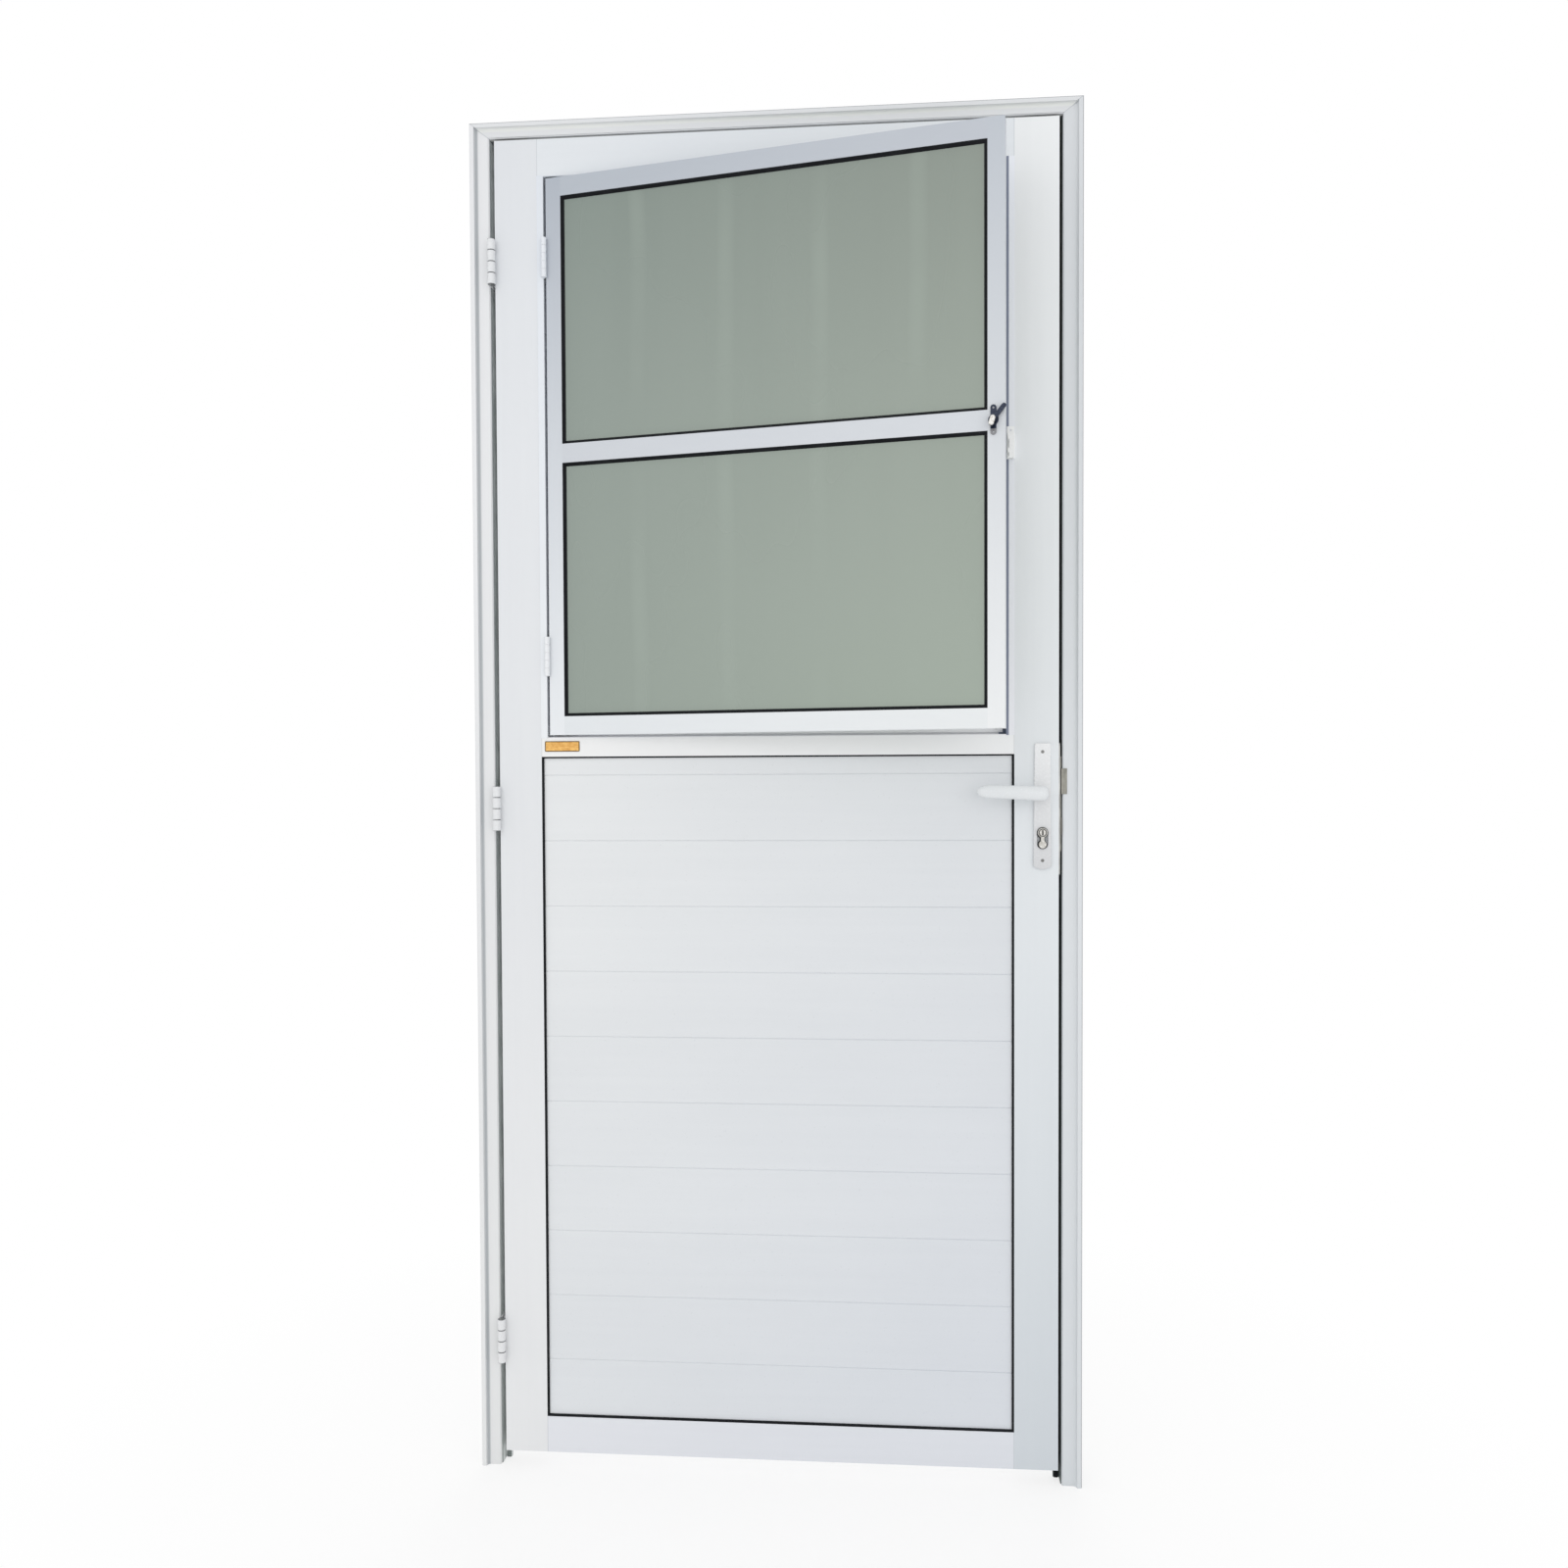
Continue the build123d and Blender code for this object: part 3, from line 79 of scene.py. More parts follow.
# A Finish is one material in the making
class Finish:
    def __init__(self, name):
        self.material = bpy.data.materials.new(name)
        self.material.use_nodes = True
        self.tree = self.material.node_tree
        self.shader = self.tree.nodes["Principled BSDF"]
        self.place = self.node("ShaderNodeTexCoord", {}, out="Object")

    def node(self, kind, settings, *values, out=0, **named):
        made = self.tree.nodes.new(kind)
        for setting, value in settings.items():
            setattr(made, setting, value)
        for index, value in enumerate(values):
            self.feed(made.inputs[index], value)
        for key, value in named.items():
            self.feed(made.inputs[key.replace("_", " ")], value)
        return Signal(self, made.outputs[out])

    def feed(self, socket, value):
        if value is None:
            return
        if isinstance(value, Signal):
            self.tree.links.new(value.socket, socket)
        elif isinstance(value, tuple) and len(value) == 3 and socket.type == "RGBA":
            socket.default_value = (*value, 1)
        else:
            socket.default_value = value

    def set(self, **named):
        for key, value in named.items():
            self.feed(self.shader.inputs[key.replace("_", " ")], value)

    def noise(self, size, detail=2, stretch=(1, 1, 1), rough=0.5):
        place = self.node("ShaderNodeMapping", {}, self.place, Scale=stretch)
        return self.node("ShaderNodeTexNoise", {}, Vector=place, Scale=1 / size, Detail=detail,
                         Roughness=rough)

    def spread(self, signal, low, high, start=0.0, end=1.0):
        return self.node("ShaderNodeMapRange", {}, signal, low, high, start, end)

    def blend(self, amount, first, second):
        mixed = self.node("ShaderNodeMix", {"data_type": "RGBA"}, out=2)
        sockets = mixed.socket.node.inputs
        for index, value in ((0, amount), (6, first), (7, second)):
            self.feed(sockets[index], value)
        return mixed

    def bump(self, height, depth, strength=0.5):
        return self.node("ShaderNodeBump", {}, Strength=strength, Distance=depth, Height=height)

    def axis(self, letter):
        return self.node("ShaderNodeSeparateXYZ", {}, self.place, out=letter)

    def length(self, vector):
        return self.node("ShaderNodeVectorMath", {"operation": "LENGTH"}, vector, out=1)

    def line(self, distance, width):
        return self.spread(distance, width * 0.5, width, 1.0, 0.0)


def dress(finish, *names):
    for name in names:
        slots = nodes[name].data.materials
        slots.clear()
        slots.append(finish.material)


# Camera, solved from the lines of frame, leaf and hatch in the photograph
cameraLook = {"x": 0.169, "distance": 1.966, "height": 1.080, "turn": 4.52, "tilt": -1.41,
              "roll": 0.24, "focal": 1300, "axisRight": -1.5, "axisDown": 35.1,
              "picture": 1600, "sensor": 36, "nearest": 0.05, "farthest": 60}


def placeCamera(look):
    data = bpy.data.cameras.new("camera")
    camera = bpy.data.objects.new("camera", data)
    bpy.context.scene.collection.objects.link(camera)
    turn = (Matrix.Rotation(radians(look["turn"]), 3, "Z")
            @ Matrix.Rotation(radians(look["tilt"]), 3, "X")
            @ Matrix.Rotation(radians(look["roll"]), 3, "Y"))
    right, forward, up = (turn @ Vector(v) for v in ((1, 0, 0), (0, 1, 0), (0, 0, 1)))
    facing = Matrix((right, up, -forward)).transposed().to_4x4()
    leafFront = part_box("lock_stile")[0].y
    place = (look["x"], leafFront - look["distance"], look["height"])
    camera.matrix_world = Matrix.Translation(place) @ facing
    data.sensor_width = look["sensor"]
    data.lens = look["sensor"] * look["focal"] / look["picture"]
    data.shift_x = -look["axisRight"] / look["picture"]
    data.shift_y = look["axisDown"] / look["picture"]
    data.clip_start, data.clip_end = look["nearest"], look["farthest"]
    bpy.context.scene.camera = camera
    print("camera placed")


# Studio. The floor fades to white away from the door, and the sky is white to the rays named here.
studio = {
    "floorSize": 14.0, "paper": (0.93, 0.93, 0.93), "paperRough": 0.9, "paperGloss": 0.1,
    "whiteNear": 0.74, "fadeFrom": 0.45, "fadeTo": 1.3, "skyGlow": 0.90,
    "whiteRays": ("Is Camera Ray", "Is Glossy Ray", "Is Transmission Ray"),
    "lamps": {
        "keyLamp": {"place": (-2.2, -4.2, 2.7), "aim": (0, 0, 0.9), "size": (3.0, 2.2),
                    "power": 18},
        "fillLamp": {"place": (2.4, -4.2, 1.5), "aim": (0, 0, 0.9), "size": (3.0, 2.6),
                     "power": 20},
        "backLamp": {"place": (0.5, 3.6, 2.6), "aim": (0, 0, 1.1), "size": (2.6, 2.0),
                     "power": 20},
    },
}


def layFloor(look):
    bpy.ops.object.select_all(action="DESELECT")
    bpy.ops.mesh.primitive_plane_add(size=look["floorSize"], location=(0, 0, 0))
    floor = bpy.context.object
    floor.name = "studioFloor"
    paper = Finish("studioFloorPaper")
    paper.set(Base_Color=look["paper"], Roughness=look["paperRough"])
    paper.shader.inputs["Specular IOR Level"].default_value = look["paperGloss"]
    white = paper.node("ShaderNodeEmission", {}, (1, 1, 1), 1.0)
    seen = sum(paper.node("ShaderNodeLightPath", {}, out=ray) for ray in look["whiteRays"])
    fade = paper.spread(paper.length(paper.place), look["fadeFrom"], look["fadeTo"],
                        look["whiteNear"], 1.0)
    plain = Signal(paper, paper.shader.outputs[0])
    mixed = paper.node("ShaderNodeMixShader", {}, fade * seen, plain, white)
    paper.tree.links.new(mixed.socket, paper.tree.nodes["Material Output"].inputs[0])
    floor.data.materials.append(paper.material)


def hangSky(look):
    world = bpy.data.worlds.new("studioSky")
    bpy.context.scene.world = world
    world.use_nodes = True
    tree = world.node_tree
    glow = tree.nodes["Background"]
    white = tree.nodes.new("ShaderNodeBackground")
    for shade, strength in ((glow, look["skyGlow"]), (white, 1.0)):
        shade.inputs["Color"].default_value = (1, 1, 1, 1)
        shade.inputs["Strength"].default_value = strength
    path = tree.nodes.new("ShaderNodeLightPath")
    pick = tree.nodes.new("ShaderNodeMixShader")
    amount = pick.inputs[0]
    for ray in look["whiteRays"]:  # each sum takes the next one as its second value
        total = tree.nodes.new("ShaderNodeMath")
        total.operation, total.use_clamp = "ADD", True
        total.inputs[1].default_value = 0.0
        tree.links.new(path.outputs[ray], total.inputs[0])
        tree.links.new(total.outputs[0], amount)
        amount = total.inputs[1]
    tree.links.new(glow.outputs[0], pick.inputs[1])
    tree.links.new(white.outputs[0], pick.inputs[2])
    tree.links.new(pick.outputs[0], tree.nodes["World Output"].inputs[0])


def hangLamps(look):
    for name, lampLook in look["lamps"].items():
        data = bpy.data.lights.new(name, "AREA")
        data.shape = "RECTANGLE"
        data.size, data.size_y = lampLook["size"]
        data.energy = lampLook["power"]
        lamp = bpy.data.objects.new(name, data)
        bpy.context.scene.collection.objects.link(lamp)
        lamp.location = lampLook["place"]
        aim = Vector(lampLook["aim"]) - Vector(lampLook["place"])
        lamp.rotation_euler = aim.to_track_quat("-Z", "Y").to_euler()


# Colours are written as they look on a screen, 0 to 255
def screen(red, green, blue):
    levels = (value / 255 for value in (red, green, blue))
    return tuple(v / 12.92 if v <= 0.04045 else ((v + 0.055) / 1.055) ** 2.4 for v in levels)


# Where the profiles lie, so that tones can follow them: left, right, bottom, top
def span(first, last):
    low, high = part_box(first)[0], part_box(last)[1]
    return low.x, high.x, low.z, high.z


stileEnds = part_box("hinge_stile")[1].x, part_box("lock_stile")[0].x
fields = {
    "frame": span("hinge_trim", "lock_trim"), "leaf": span("hinge_stile", "lock_stile"),
    "panel": (*stileEnds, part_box("bottom_rail")[1].z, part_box("mid_rail")[0].z),
    "hatch": span("hatch_frame_hinge_side", "hatch_frame_lock_side"),
    "plate": span("front_plate", "front_plate"),
}


# The painted shade in the gaps round the leaf is paler near the floor
gapHeights = (0.3, 1.2)


def footToHead(finish, tones, heights=gapHeights):
    return finish.blend(finish.spread(finish.axis("Z"), *heights), *tones)


# Paint. A coat has its colours at the low and high end of its field, and at the right if it
# drifts that way too; these drifts are painted light and shade. Grain is the way the profile runs.
paintLook = {
    "cloudSize": 0.30, "cloudRange": (0.34, 0.66), "cloudDepth": 0.05, "cloudAlong": 0.4,
    "drawSize": 0.010, "drawRange": (0.3, 0.7), "drawDepth": 0.018, "drawAlong": 0.03,
    "shade": screen(120, 130, 145), "peelSize": 0.0012, "peelDepth": 0.000012,
    "rough": 0.33, "speckSize": 0.004, "speckRange": (0.3, 0.7), "speckRough": (-0.05, 0.06),
    "seam": screen(150, 156, 164), "seamWidth": 0.0011, "seamDepth": 0.42,
}


def whitePaint(name, coat, look=paintLook):
    paint = Finish(name)
    left, right, bottom, top = fields[coat["field"]]
    across = paint.spread(paint.axis("X"), left, right)
    up = paint.spread(paint.axis("Z"), bottom, top)
    lowRight = coat.get("lowRight", coat["low"])
    highRight = coat.get("highRight", coat.get("high", lowRight))
    low = paint.blend(across, coat["low"], lowRight)
    high = paint.blend(across, coat.get("high", coat["low"]), highRight)
    colour = paint.blend(up, low, high)

    def along(share):  # noise drawn out along the grain
        return (share, 1, 1) if coat.get("grain") == "X" else (1, 1, share)

    cloud = paint.noise(look["cloudSize"], detail=3, stretch=along(look["cloudAlong"]))
    draw = paint.noise(look["drawSize"], stretch=along(look["drawAlong"]))
    dip = (paint.spread(cloud, *look["cloudRange"]) * look["cloudDepth"]
           + paint.spread(draw, *look["drawRange"]) * look["drawDepth"])
    colour = paint.blend(dip, colour, look["shade"])
    for mark in coat.get("marks", ()):
        mask, tone = mark(paint, coat)
        colour = paint.blend(mask, colour, tone)
    specks = paint.noise(look["speckSize"], detail=4, rough=0.7)
    rough = coat.get("rough", look["rough"])
    shinier, duller = look["speckRough"]
    paint.set(Base_Color=colour,
              Roughness=paint.spread(specks, *look["speckRange"], rough + shinier, rough + duller),
              Normal=paint.bump(paint.noise(look["peelSize"]), look["peelDepth"]))
    return paint


# Marks on the paint: each gives a mask and the tone that it lets in
def buttJoints(paint, coat, look=paintLook):  # rail against stile
    left, right = stileEnds
    fromEnd = (right - left) / 2 - (paint.axis("X") - (left + right) / 2).unsigned()
    return paint.line(fromEnd, look["seamWidth"]) * look["seamDepth"], look["seam"]


# Painted light and shade on the mouldings: the coves, a dark line along the outer edge and the gap
# shade on the inner lip; the mitre is a dark joint
mouldings = {
    "cove": (0.0072, 0.0125), "coveSoft": (0.4, 1.2), "coveDepth": 0.9,
    "coveShadingTones": {"hinge": screen(166, 171, 175), "head": screen(230, 232, 229)},
    "edge": 0.0011, "edgeDepth": 0.85, "edgeShadeTone": screen(120, 124, 128), "mitreWidth": 0.0009,
    "lip": 0.0005, "lipSoft": 0.0004,
    "lipShadeTones": {"hinge": (screen(156, 163, 161), screen(126, 134, 134)),
                 "lock": (screen(90, 98, 98), screen(62, 70, 70))},
}


def fromOutside(paint, side):  # how far in from the outer edge of a moulding
    outer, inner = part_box("hinge_trim")
    if side == "head":
        return inner.z - paint.axis("Z")
    across = paint.axis("X")
    return across - outer.x if side == "hinge" else -outer.x - across


def mitre(paint, coat, look=mouldings):
    outer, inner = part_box("hinge_trim")
    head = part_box("head_trim")[0]
    slope = (inner.z - head.z) / (inner.x - outer.x)
    off = (paint.axis("X").unsigned() + outer.x) * slope - (paint.axis("Z") - inner.z)
    line = paint.line(off.unsigned(), look["mitreWidth"])
    return line * paintLook["seamDepth"], paintLook["seam"]


# Painted shade in the cove of the hinge-side trim, painted light in the cove of the head trim
def cove(paint, coat, look=mouldings):
    start, end = look["cove"]
    half = (end - start) / 2
    fromMiddle = (fromOutside(paint, coat["side"]) - (start + end) / 2).unsigned()
    full, gone = (half * share for share in look["coveSoft"])
    mask = paint.spread(fromMiddle, full, gone, look["coveDepth"], 0.0)
    return mask, look["coveShadingTones"][coat["side"]]


# Painted shade: a dark line along the outer edge of the head and lock-side trims
def outerEdge(paint, coat, look=mouldings):
    line = paint.line(fromOutside(paint, coat["side"]), look["edge"])
    return line * look["edgeDepth"], look["edgeShadeTone"]


# Painted shade: the trim's inner lip takes the gap's shade, grey-green on the hinge side and near
# black on the lock side
def innerLip(paint, coat, look=mouldings):  # the edge beside the gap
    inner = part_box("hinge_trim")[1]
    fromLip = -inner.x - look["lip"] - paint.axis("X").unsigned()
    tone = footToHead(paint, look["lipShadeTones"][coat["side"]])
    return paint.spread(fromLip, -look["lipSoft"], 0.0), tone


# Edge and inner faces of the hatch frame, seen beside the hatch and through its gap, with painted
# light and shade in the gap
hatchFrameLook = {"strip": 0.012, "stripEdge": (0.0030, 0.0040), "stripShadeDepth": 0.92,
                  "revealFront": (0.0006, 0.0014), "revealBack": (0.0155, 0.0165)}


# Painted shade: a dark blue band on the lining and the strip's inner edge beside the open hatch
def stripEdge(paint, coat, look=hatchFrameLook):
    edge = stileEnds[1] - look["strip"]
    start, end = look["stripEdge"]
    mask = paint.spread(paint.axis("X"), edge + start, edge + end, look["stripShadeDepth"], 0.0)
    return mask, coat["edge"]


# Painted light and shade on the reveal inside the gap round the hatch
def hatchReveal(paint, coat, look=hatchFrameLook):
    deep = paint.axis("Y")
    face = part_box("hatch_frame_lock_side")[0].y
    start, end = look["revealFront"]
    front = paint.spread(deep, face + start, face + end)
    return front * paint.spread(deep, *look["revealBack"], 1.0, 0.0), coat["reveal"]


# Dark lines where the knuckles of the door hinges meet, and painted shade lines at both ends of
# each barrel
knuckles = {"heights": (0.204, 1.048, 1.8975), "offsets": (-0.035, -0.0175, 0.0, 0.0175, 0.035),
            "width": 0.0011, "barrel": (-0.0082, -0.0080), "depth": 0.8,
            "tone": screen(72, 76, 82)}


def knuckleJointsAndEndShade(paint, coat, look=knuckles):
    up = paint.axis("Z")
    lines = sum(paint.line((up - (height + offset)).unsigned(), look["width"])
                for height in look["heights"] for offset in look["offsets"])
    barrel = paint.spread(paint.axis("Y"), *look["barrel"], look["depth"], 0.0)
    return lines * barrel, look["tone"]


# Shaded ring where a lever's neck meets its plate
neck = {"reach": 0.005, "depth": 0.8, "tone": screen(92, 96, 100)}


def neckRing(paint, coat, look=neck):
    front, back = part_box("front_plate")[0].y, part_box("back_plate")[1].y
    proud = (paint.axis("Y") - (front + back) / 2).unsigned() - (back - front) / 2
    return paint.line(proud, look["reach"]) * look["depth"], look["tone"]


# Painted light and shade: the tones of each coat follow how the light fell across the door and up
# it
coats = {
    "hingeStilePaint": {
        "nodes": ["hinge_stile"], "field": "leaf",
        "low": screen(233, 234, 235), "high": screen(220, 223, 227)},
    # Painted light: the lock stile lightens towards its top, against the shade of the open hatch
    "lockStilePaint": {
        "nodes": ["lock_stile"], "field": "leaf",
        "low": screen(208, 214, 219), "high": screen(240, 242, 243)},
    "topRailPaint": {
        "nodes": ["top_rail"], "field": "leaf", "grain": "X", "marks": [buttJoints],
        "low": screen(223, 227, 231), "lowRight": screen(228, 232, 236)},
    # Painted light: the middle rail near white, against the shade of the open hatch above it
    "midRailPaint": {
        "nodes": ["mid_rail"], "field": "leaf", "grain": "X", "marks": [buttJoints],
        "low": screen(240, 240, 239), "lowRight": screen(242, 243, 244)},
    "bottomRailPaint": {
        "nodes": ["bottom_rail"], "field": "leaf", "grain": "X", "marks": [buttJoints],
        "low": screen(228, 230, 235), "lowRight": screen(221, 224, 230)},
    "plankPaint": {
        "nodes": [name for name in nodes if name.startswith("plank_")], "field": "panel",
        "grain": "X", "rough": 0.31,
        "low": screen(224, 227, 230), "high": screen(229, 231, 232),
        "lowRight": screen(216, 220, 226), "highRight": screen(220, 223, 226)},
    "hingeTrimPaint": {
        "nodes": ["hinge_trim"], "field": "frame", "side": "hinge",
        "marks": [cove, mitre, innerLip],
        "low": screen(231, 232, 232), "high": screen(229, 230, 232)},
    "lockTrimPaint": {
        "nodes": ["lock_trim"], "field": "frame", "side": "lock",
        "marks": [outerEdge, mitre, innerLip],
        "low": screen(217, 221, 224), "high": screen(217, 220, 223)},
    "headTrimPaint": {
        "nodes": ["head_trim"], "field": "frame", "side": "head", "grain": "X",
        "marks": [cove, outerEdge, mitre], "low": screen(221, 223, 225)},
    # Reveal tones: painted light on the hinge side, painted shade on the lock side, where a painted
    # shade band also runs along the strip's edge
    "hatchHingeSidePaint": {
        "nodes": ["hatch_frame_hinge_side"], "field": "hatch", "marks": [hatchReveal],
        "reveal": screen(230, 233, 238),
        "low": screen(234, 237, 240), "high": screen(220, 225, 232)},
    "hatchLockSidePaint": {
        "nodes": ["hatch_frame_lock_side"], "field": "hatch", "marks": [hatchReveal, stripEdge],
        "edge": screen(100, 110, 134), "reveal": screen(150, 157, 172),
        "low": screen(237, 238, 243), "high": screen(241, 244, 250)},
    "hatchSillPaint": {
        "nodes": ["hatch_frame_cross_members"], "field": "hatch", "grain": "X",
        "low": screen(232, 232, 235), "high": screen(190, 196, 204)},
    # Painted shade and reflection: the sash darker and bluer towards its top
    "sashHingeStilePaint": {
        "nodes": ["hatch_hinge_stile"], "field": "hatch",
        "low": screen(232, 235, 238), "high": screen(171, 178, 188)},
    "sashLockStilePaint": {
        "nodes": ["hatch_lock_stile"], "field": "hatch",
        "low": screen(234, 236, 237), "high": screen(188, 194, 202)},
    "sashTopPaint": {
        "nodes": ["hatch_top_rail"], "field": "hatch", "grain": "X",
        "low": screen(176, 183, 192), "lowRight": screen(190, 195, 203)},
    "sashBarPaint": {
        "nodes": ["hatch_bar"], "field": "hatch", "grain": "X",
        "low": screen(201, 205, 211), "lowRight": screen(211, 215, 220)},
    "sashBottomPaint": {
        "nodes": ["hatch_bottom_rail"], "field": "hatch", "grain": "X",
        "low": screen(225, 229, 232), "lowRight": screen(231, 234, 235)},
    "handlePaint": {
        "nodes": ["front_lever", "back_lever"], "field": "leaf", "rough": 0.24,
        "marks": [neckRing], "low": screen(225, 228, 230)},
    "platePaint": {
        "nodes": ["front_plate", "back_plate"], "field": "plate", "rough": 0.26,
        "low": screen(208, 209, 211), "high": screen(236, 237, 238)},
    "hingePaint": {
        "nodes": ["frame_hinge_leaves", "leaf_hinge_leaves"], "field": "frame", "rough": 0.28,
        "marks": [knuckleJointsAndEndShade],
        "low": screen(230, 231, 232), "high": screen(226, 228, 230)},
    "hatchHingePaint": {
        "nodes": ["hatch_hinge_frame_leaves", "hatch_hinge_sash_leaves"],
        "field": "hatch", "rough": 0.28,
        "low": screen(236, 238, 240), "high": screen(228, 232, 238)},
    "keeperPaint": {
        "nodes": ["hatch_keeper"], "field": "hatch", "rough": 0.28,
        "low": screen(252, 252, 252)},
}


# Rebate of the jambs: streaked grey-green painted shade behind the leaf's edge, near black on the
# lock and head jambs, the front lip in the gap's painted shade too, paint further back
rebateLook = {
    "paint": (0.74, 0.76, 0.77), "front": -0.0012, "frontSoft": 0.0005,
    "back": 0.0205, "backSoft": 0.001, "lipDepth": 0.001,
    "streakSize": 0.004, "streakAlong": (1, 1, 0.02), "streakShare": 0.7, "blotSize": 0.05,
    "range": (0.38, 0.62), "rough": (0.36, 0.5), "grainSize": 0.0012, "grainDepth": 0.00003,
}
jambs = {
    "hingeJambPaint": {
        "nodes": ["hinge_jamb"], "dark": (0.47, 0.52, 0.505), "light": (0.88, 0.91, 0.90),
        "lip": (screen(158, 165, 163), screen(130, 138, 138))},
    "lockJambPaint": {
        "nodes": ["lock_jamb"], "dark": (0.020, 0.030, 0.028), "light": (0.10, 0.125, 0.12),
        "lip": (screen(92, 100, 100), screen(62, 70, 70))},
    "headJambPaint": {
        "nodes": ["head_jamb"], "dark": (0.06, 0.07, 0.07), "light": (0.22, 0.24, 0.24),
        "lip": (screen(150, 152, 150), screen(150, 152, 150))},
}


def jambPaint(name, tones, look=rebateLook):
    paint = Finish(name)
    streaks = paint.noise(look["streakSize"], detail=4, stretch=look["streakAlong"], rough=0.65)
    blots = paint.noise(look["blotSize"], detail=3)
    share = look["streakShare"]
    streaking = paint.spread(streaks * share + blots * (1 - share), *look["range"])
    rebateShade = paint.blend(streaking, tones["dark"], tones["light"])
    deep = paint.axis("Y")
    lip = footToHead(paint, tones["lip"])
    rebateShade = paint.blend(paint.spread(deep, 0.0, look["lipDepth"]), lip, rebateShade)
    front, back = look["front"], look["back"]
    inside = (paint.spread(deep, front, front + look["frontSoft"])
              * paint.spread(deep, back, back + look["backSoft"], 1.0, 0.0))
    paint.set(Base_Color=paint.blend(inside, look["paint"], rebateShade),
              Roughness=paint.spread(blots, 0.3, 0.7, *look["rough"]),
              Normal=paint.bump(paint.noise(look["grainSize"]), look["grainDepth"]))
    return paint


# Black rubber of seals and gaskets. On the hinge side the seal is painted grey-green as painted
# light in the lit gap, paler near the floor.
rubberLook = {
    "dark": (0.004, 0.005, 0.007), "dusty": (0.014, 0.015, 0.018), "rough": (0.62, 0.77),
    "gloss": 0.18, "dustSize": 0.03, "dustAlong": (1, 1, 0.3), "dustRange": (0.45, 0.8),
    "grainSize": 0.0009, "grainDepth": 0.00006,
    "greySide": (-0.428, -0.4278), "greyDepth": 0.8, "greyHeights": (0.25, 1.2),
    "grey": (screen(150, 158, 156), screen(112, 121, 120)),
}


def blackRubber(name, paintedGapLight=False, look=rubberLook):
    rubber = Finish(name)
    dust = rubber.noise(look["dustSize"], detail=5, stretch=look["dustAlong"])
    dust = rubber.spread(dust, *look["dustRange"])
    tone = rubber.blend(dust, look["dark"], look["dusty"])
    if paintedGapLight:
        side = rubber.spread(rubber.axis("X"), *look["greySide"], look["greyDepth"], 0.0)
        tone = rubber.blend(side, tone, footToHead(rubber, look["grey"], look["greyHeights"]))
    rubber.set(Base_Color=tone, Roughness=rubber.spread(dust, 0, 1, *look["rough"]),
               Normal=rubber.bump(rubber.noise(look["grainSize"]), look["grainDepth"]))
    rubber.shader.inputs["Specular IOR Level"].default_value = look["gloss"]
    return rubber


# Grey-green glass with faint upright stripes, darker at the top left and lighter at the bottom
# right as painted shade and light
glassLook = {
    "highLeft": (0.200, 0.245, 0.220), "highRight": (0.246, 0.280, 0.246),
    "lowLeft": (0.262, 0.308, 0.272), "lowRight": (0.338, 0.392, 0.334),
    "stripe": (0.36, 0.42, 0.37), "stripePitch": 0.141, "stripeShift": -0.007,
    "stripeDepth": 0.20, "stripeCrest": (0.90, 1.0), "waver": 0.6,
    "patchSize": 0.16, "patchAlong": (1, 1, 0.5), "patchRange": (0.42, 0.66),
    "hazeSize": 0.05, "hazeAlong": (1, 1, 0.03), "hazeRange": (0.3, 0.7), "hazeDepth": 0.05,
    "rippleSize": 0.02, "rippleDepth": 0.00001, "rough": (0.24, 0.30),
}


def tintedGlass(look=glassLook):
    glass = Finish("tintedGlass")
    left, right, bottom, top = fields["hatch"]
    across = glass.spread(glass.axis("X"), left, right)
    up = glass.spread(glass.axis("Z"), bottom, top)
    low = glass.blend(across, look["lowLeft"], look["lowRight"])
    high = glass.blend(across, look["highLeft"], look["highRight"])
    shifted = glass.node("ShaderNodeMapping", {}, glass.place,
                         Location=(look["stripeShift"], 0, 0))
    wave = glass.node("ShaderNodeTexWave", {"bands_direction": "X"}, Vector=shifted,
                      Scale=pi / 10 / look["stripePitch"], Distortion=look["waver"], Detail=1.0)
    patchy = glass.noise(look["patchSize"], stretch=look["patchAlong"])
    patchy = glass.spread(patchy, *look["patchRange"])
    stripes = glass.spread(wave, *look["stripeCrest"]) * patchy * look["stripeDepth"]
    haze = glass.noise(look["hazeSize"], stretch=look["hazeAlong"])
    haze = glass.spread(haze, *look["hazeRange"], 0.0, look["hazeDepth"])
    ripple = glass.noise(look["rippleSize"], detail=1)
    glass.set(Base_Color=glass.blend(stripes + haze, glass.blend(up, low, high), look["stripe"]),
              Roughness=glass.spread(patchy, 0, 1, *look["rough"]),
              Normal=glass.bump(ripple, look["rippleDepth"], 0.3))
    return glass


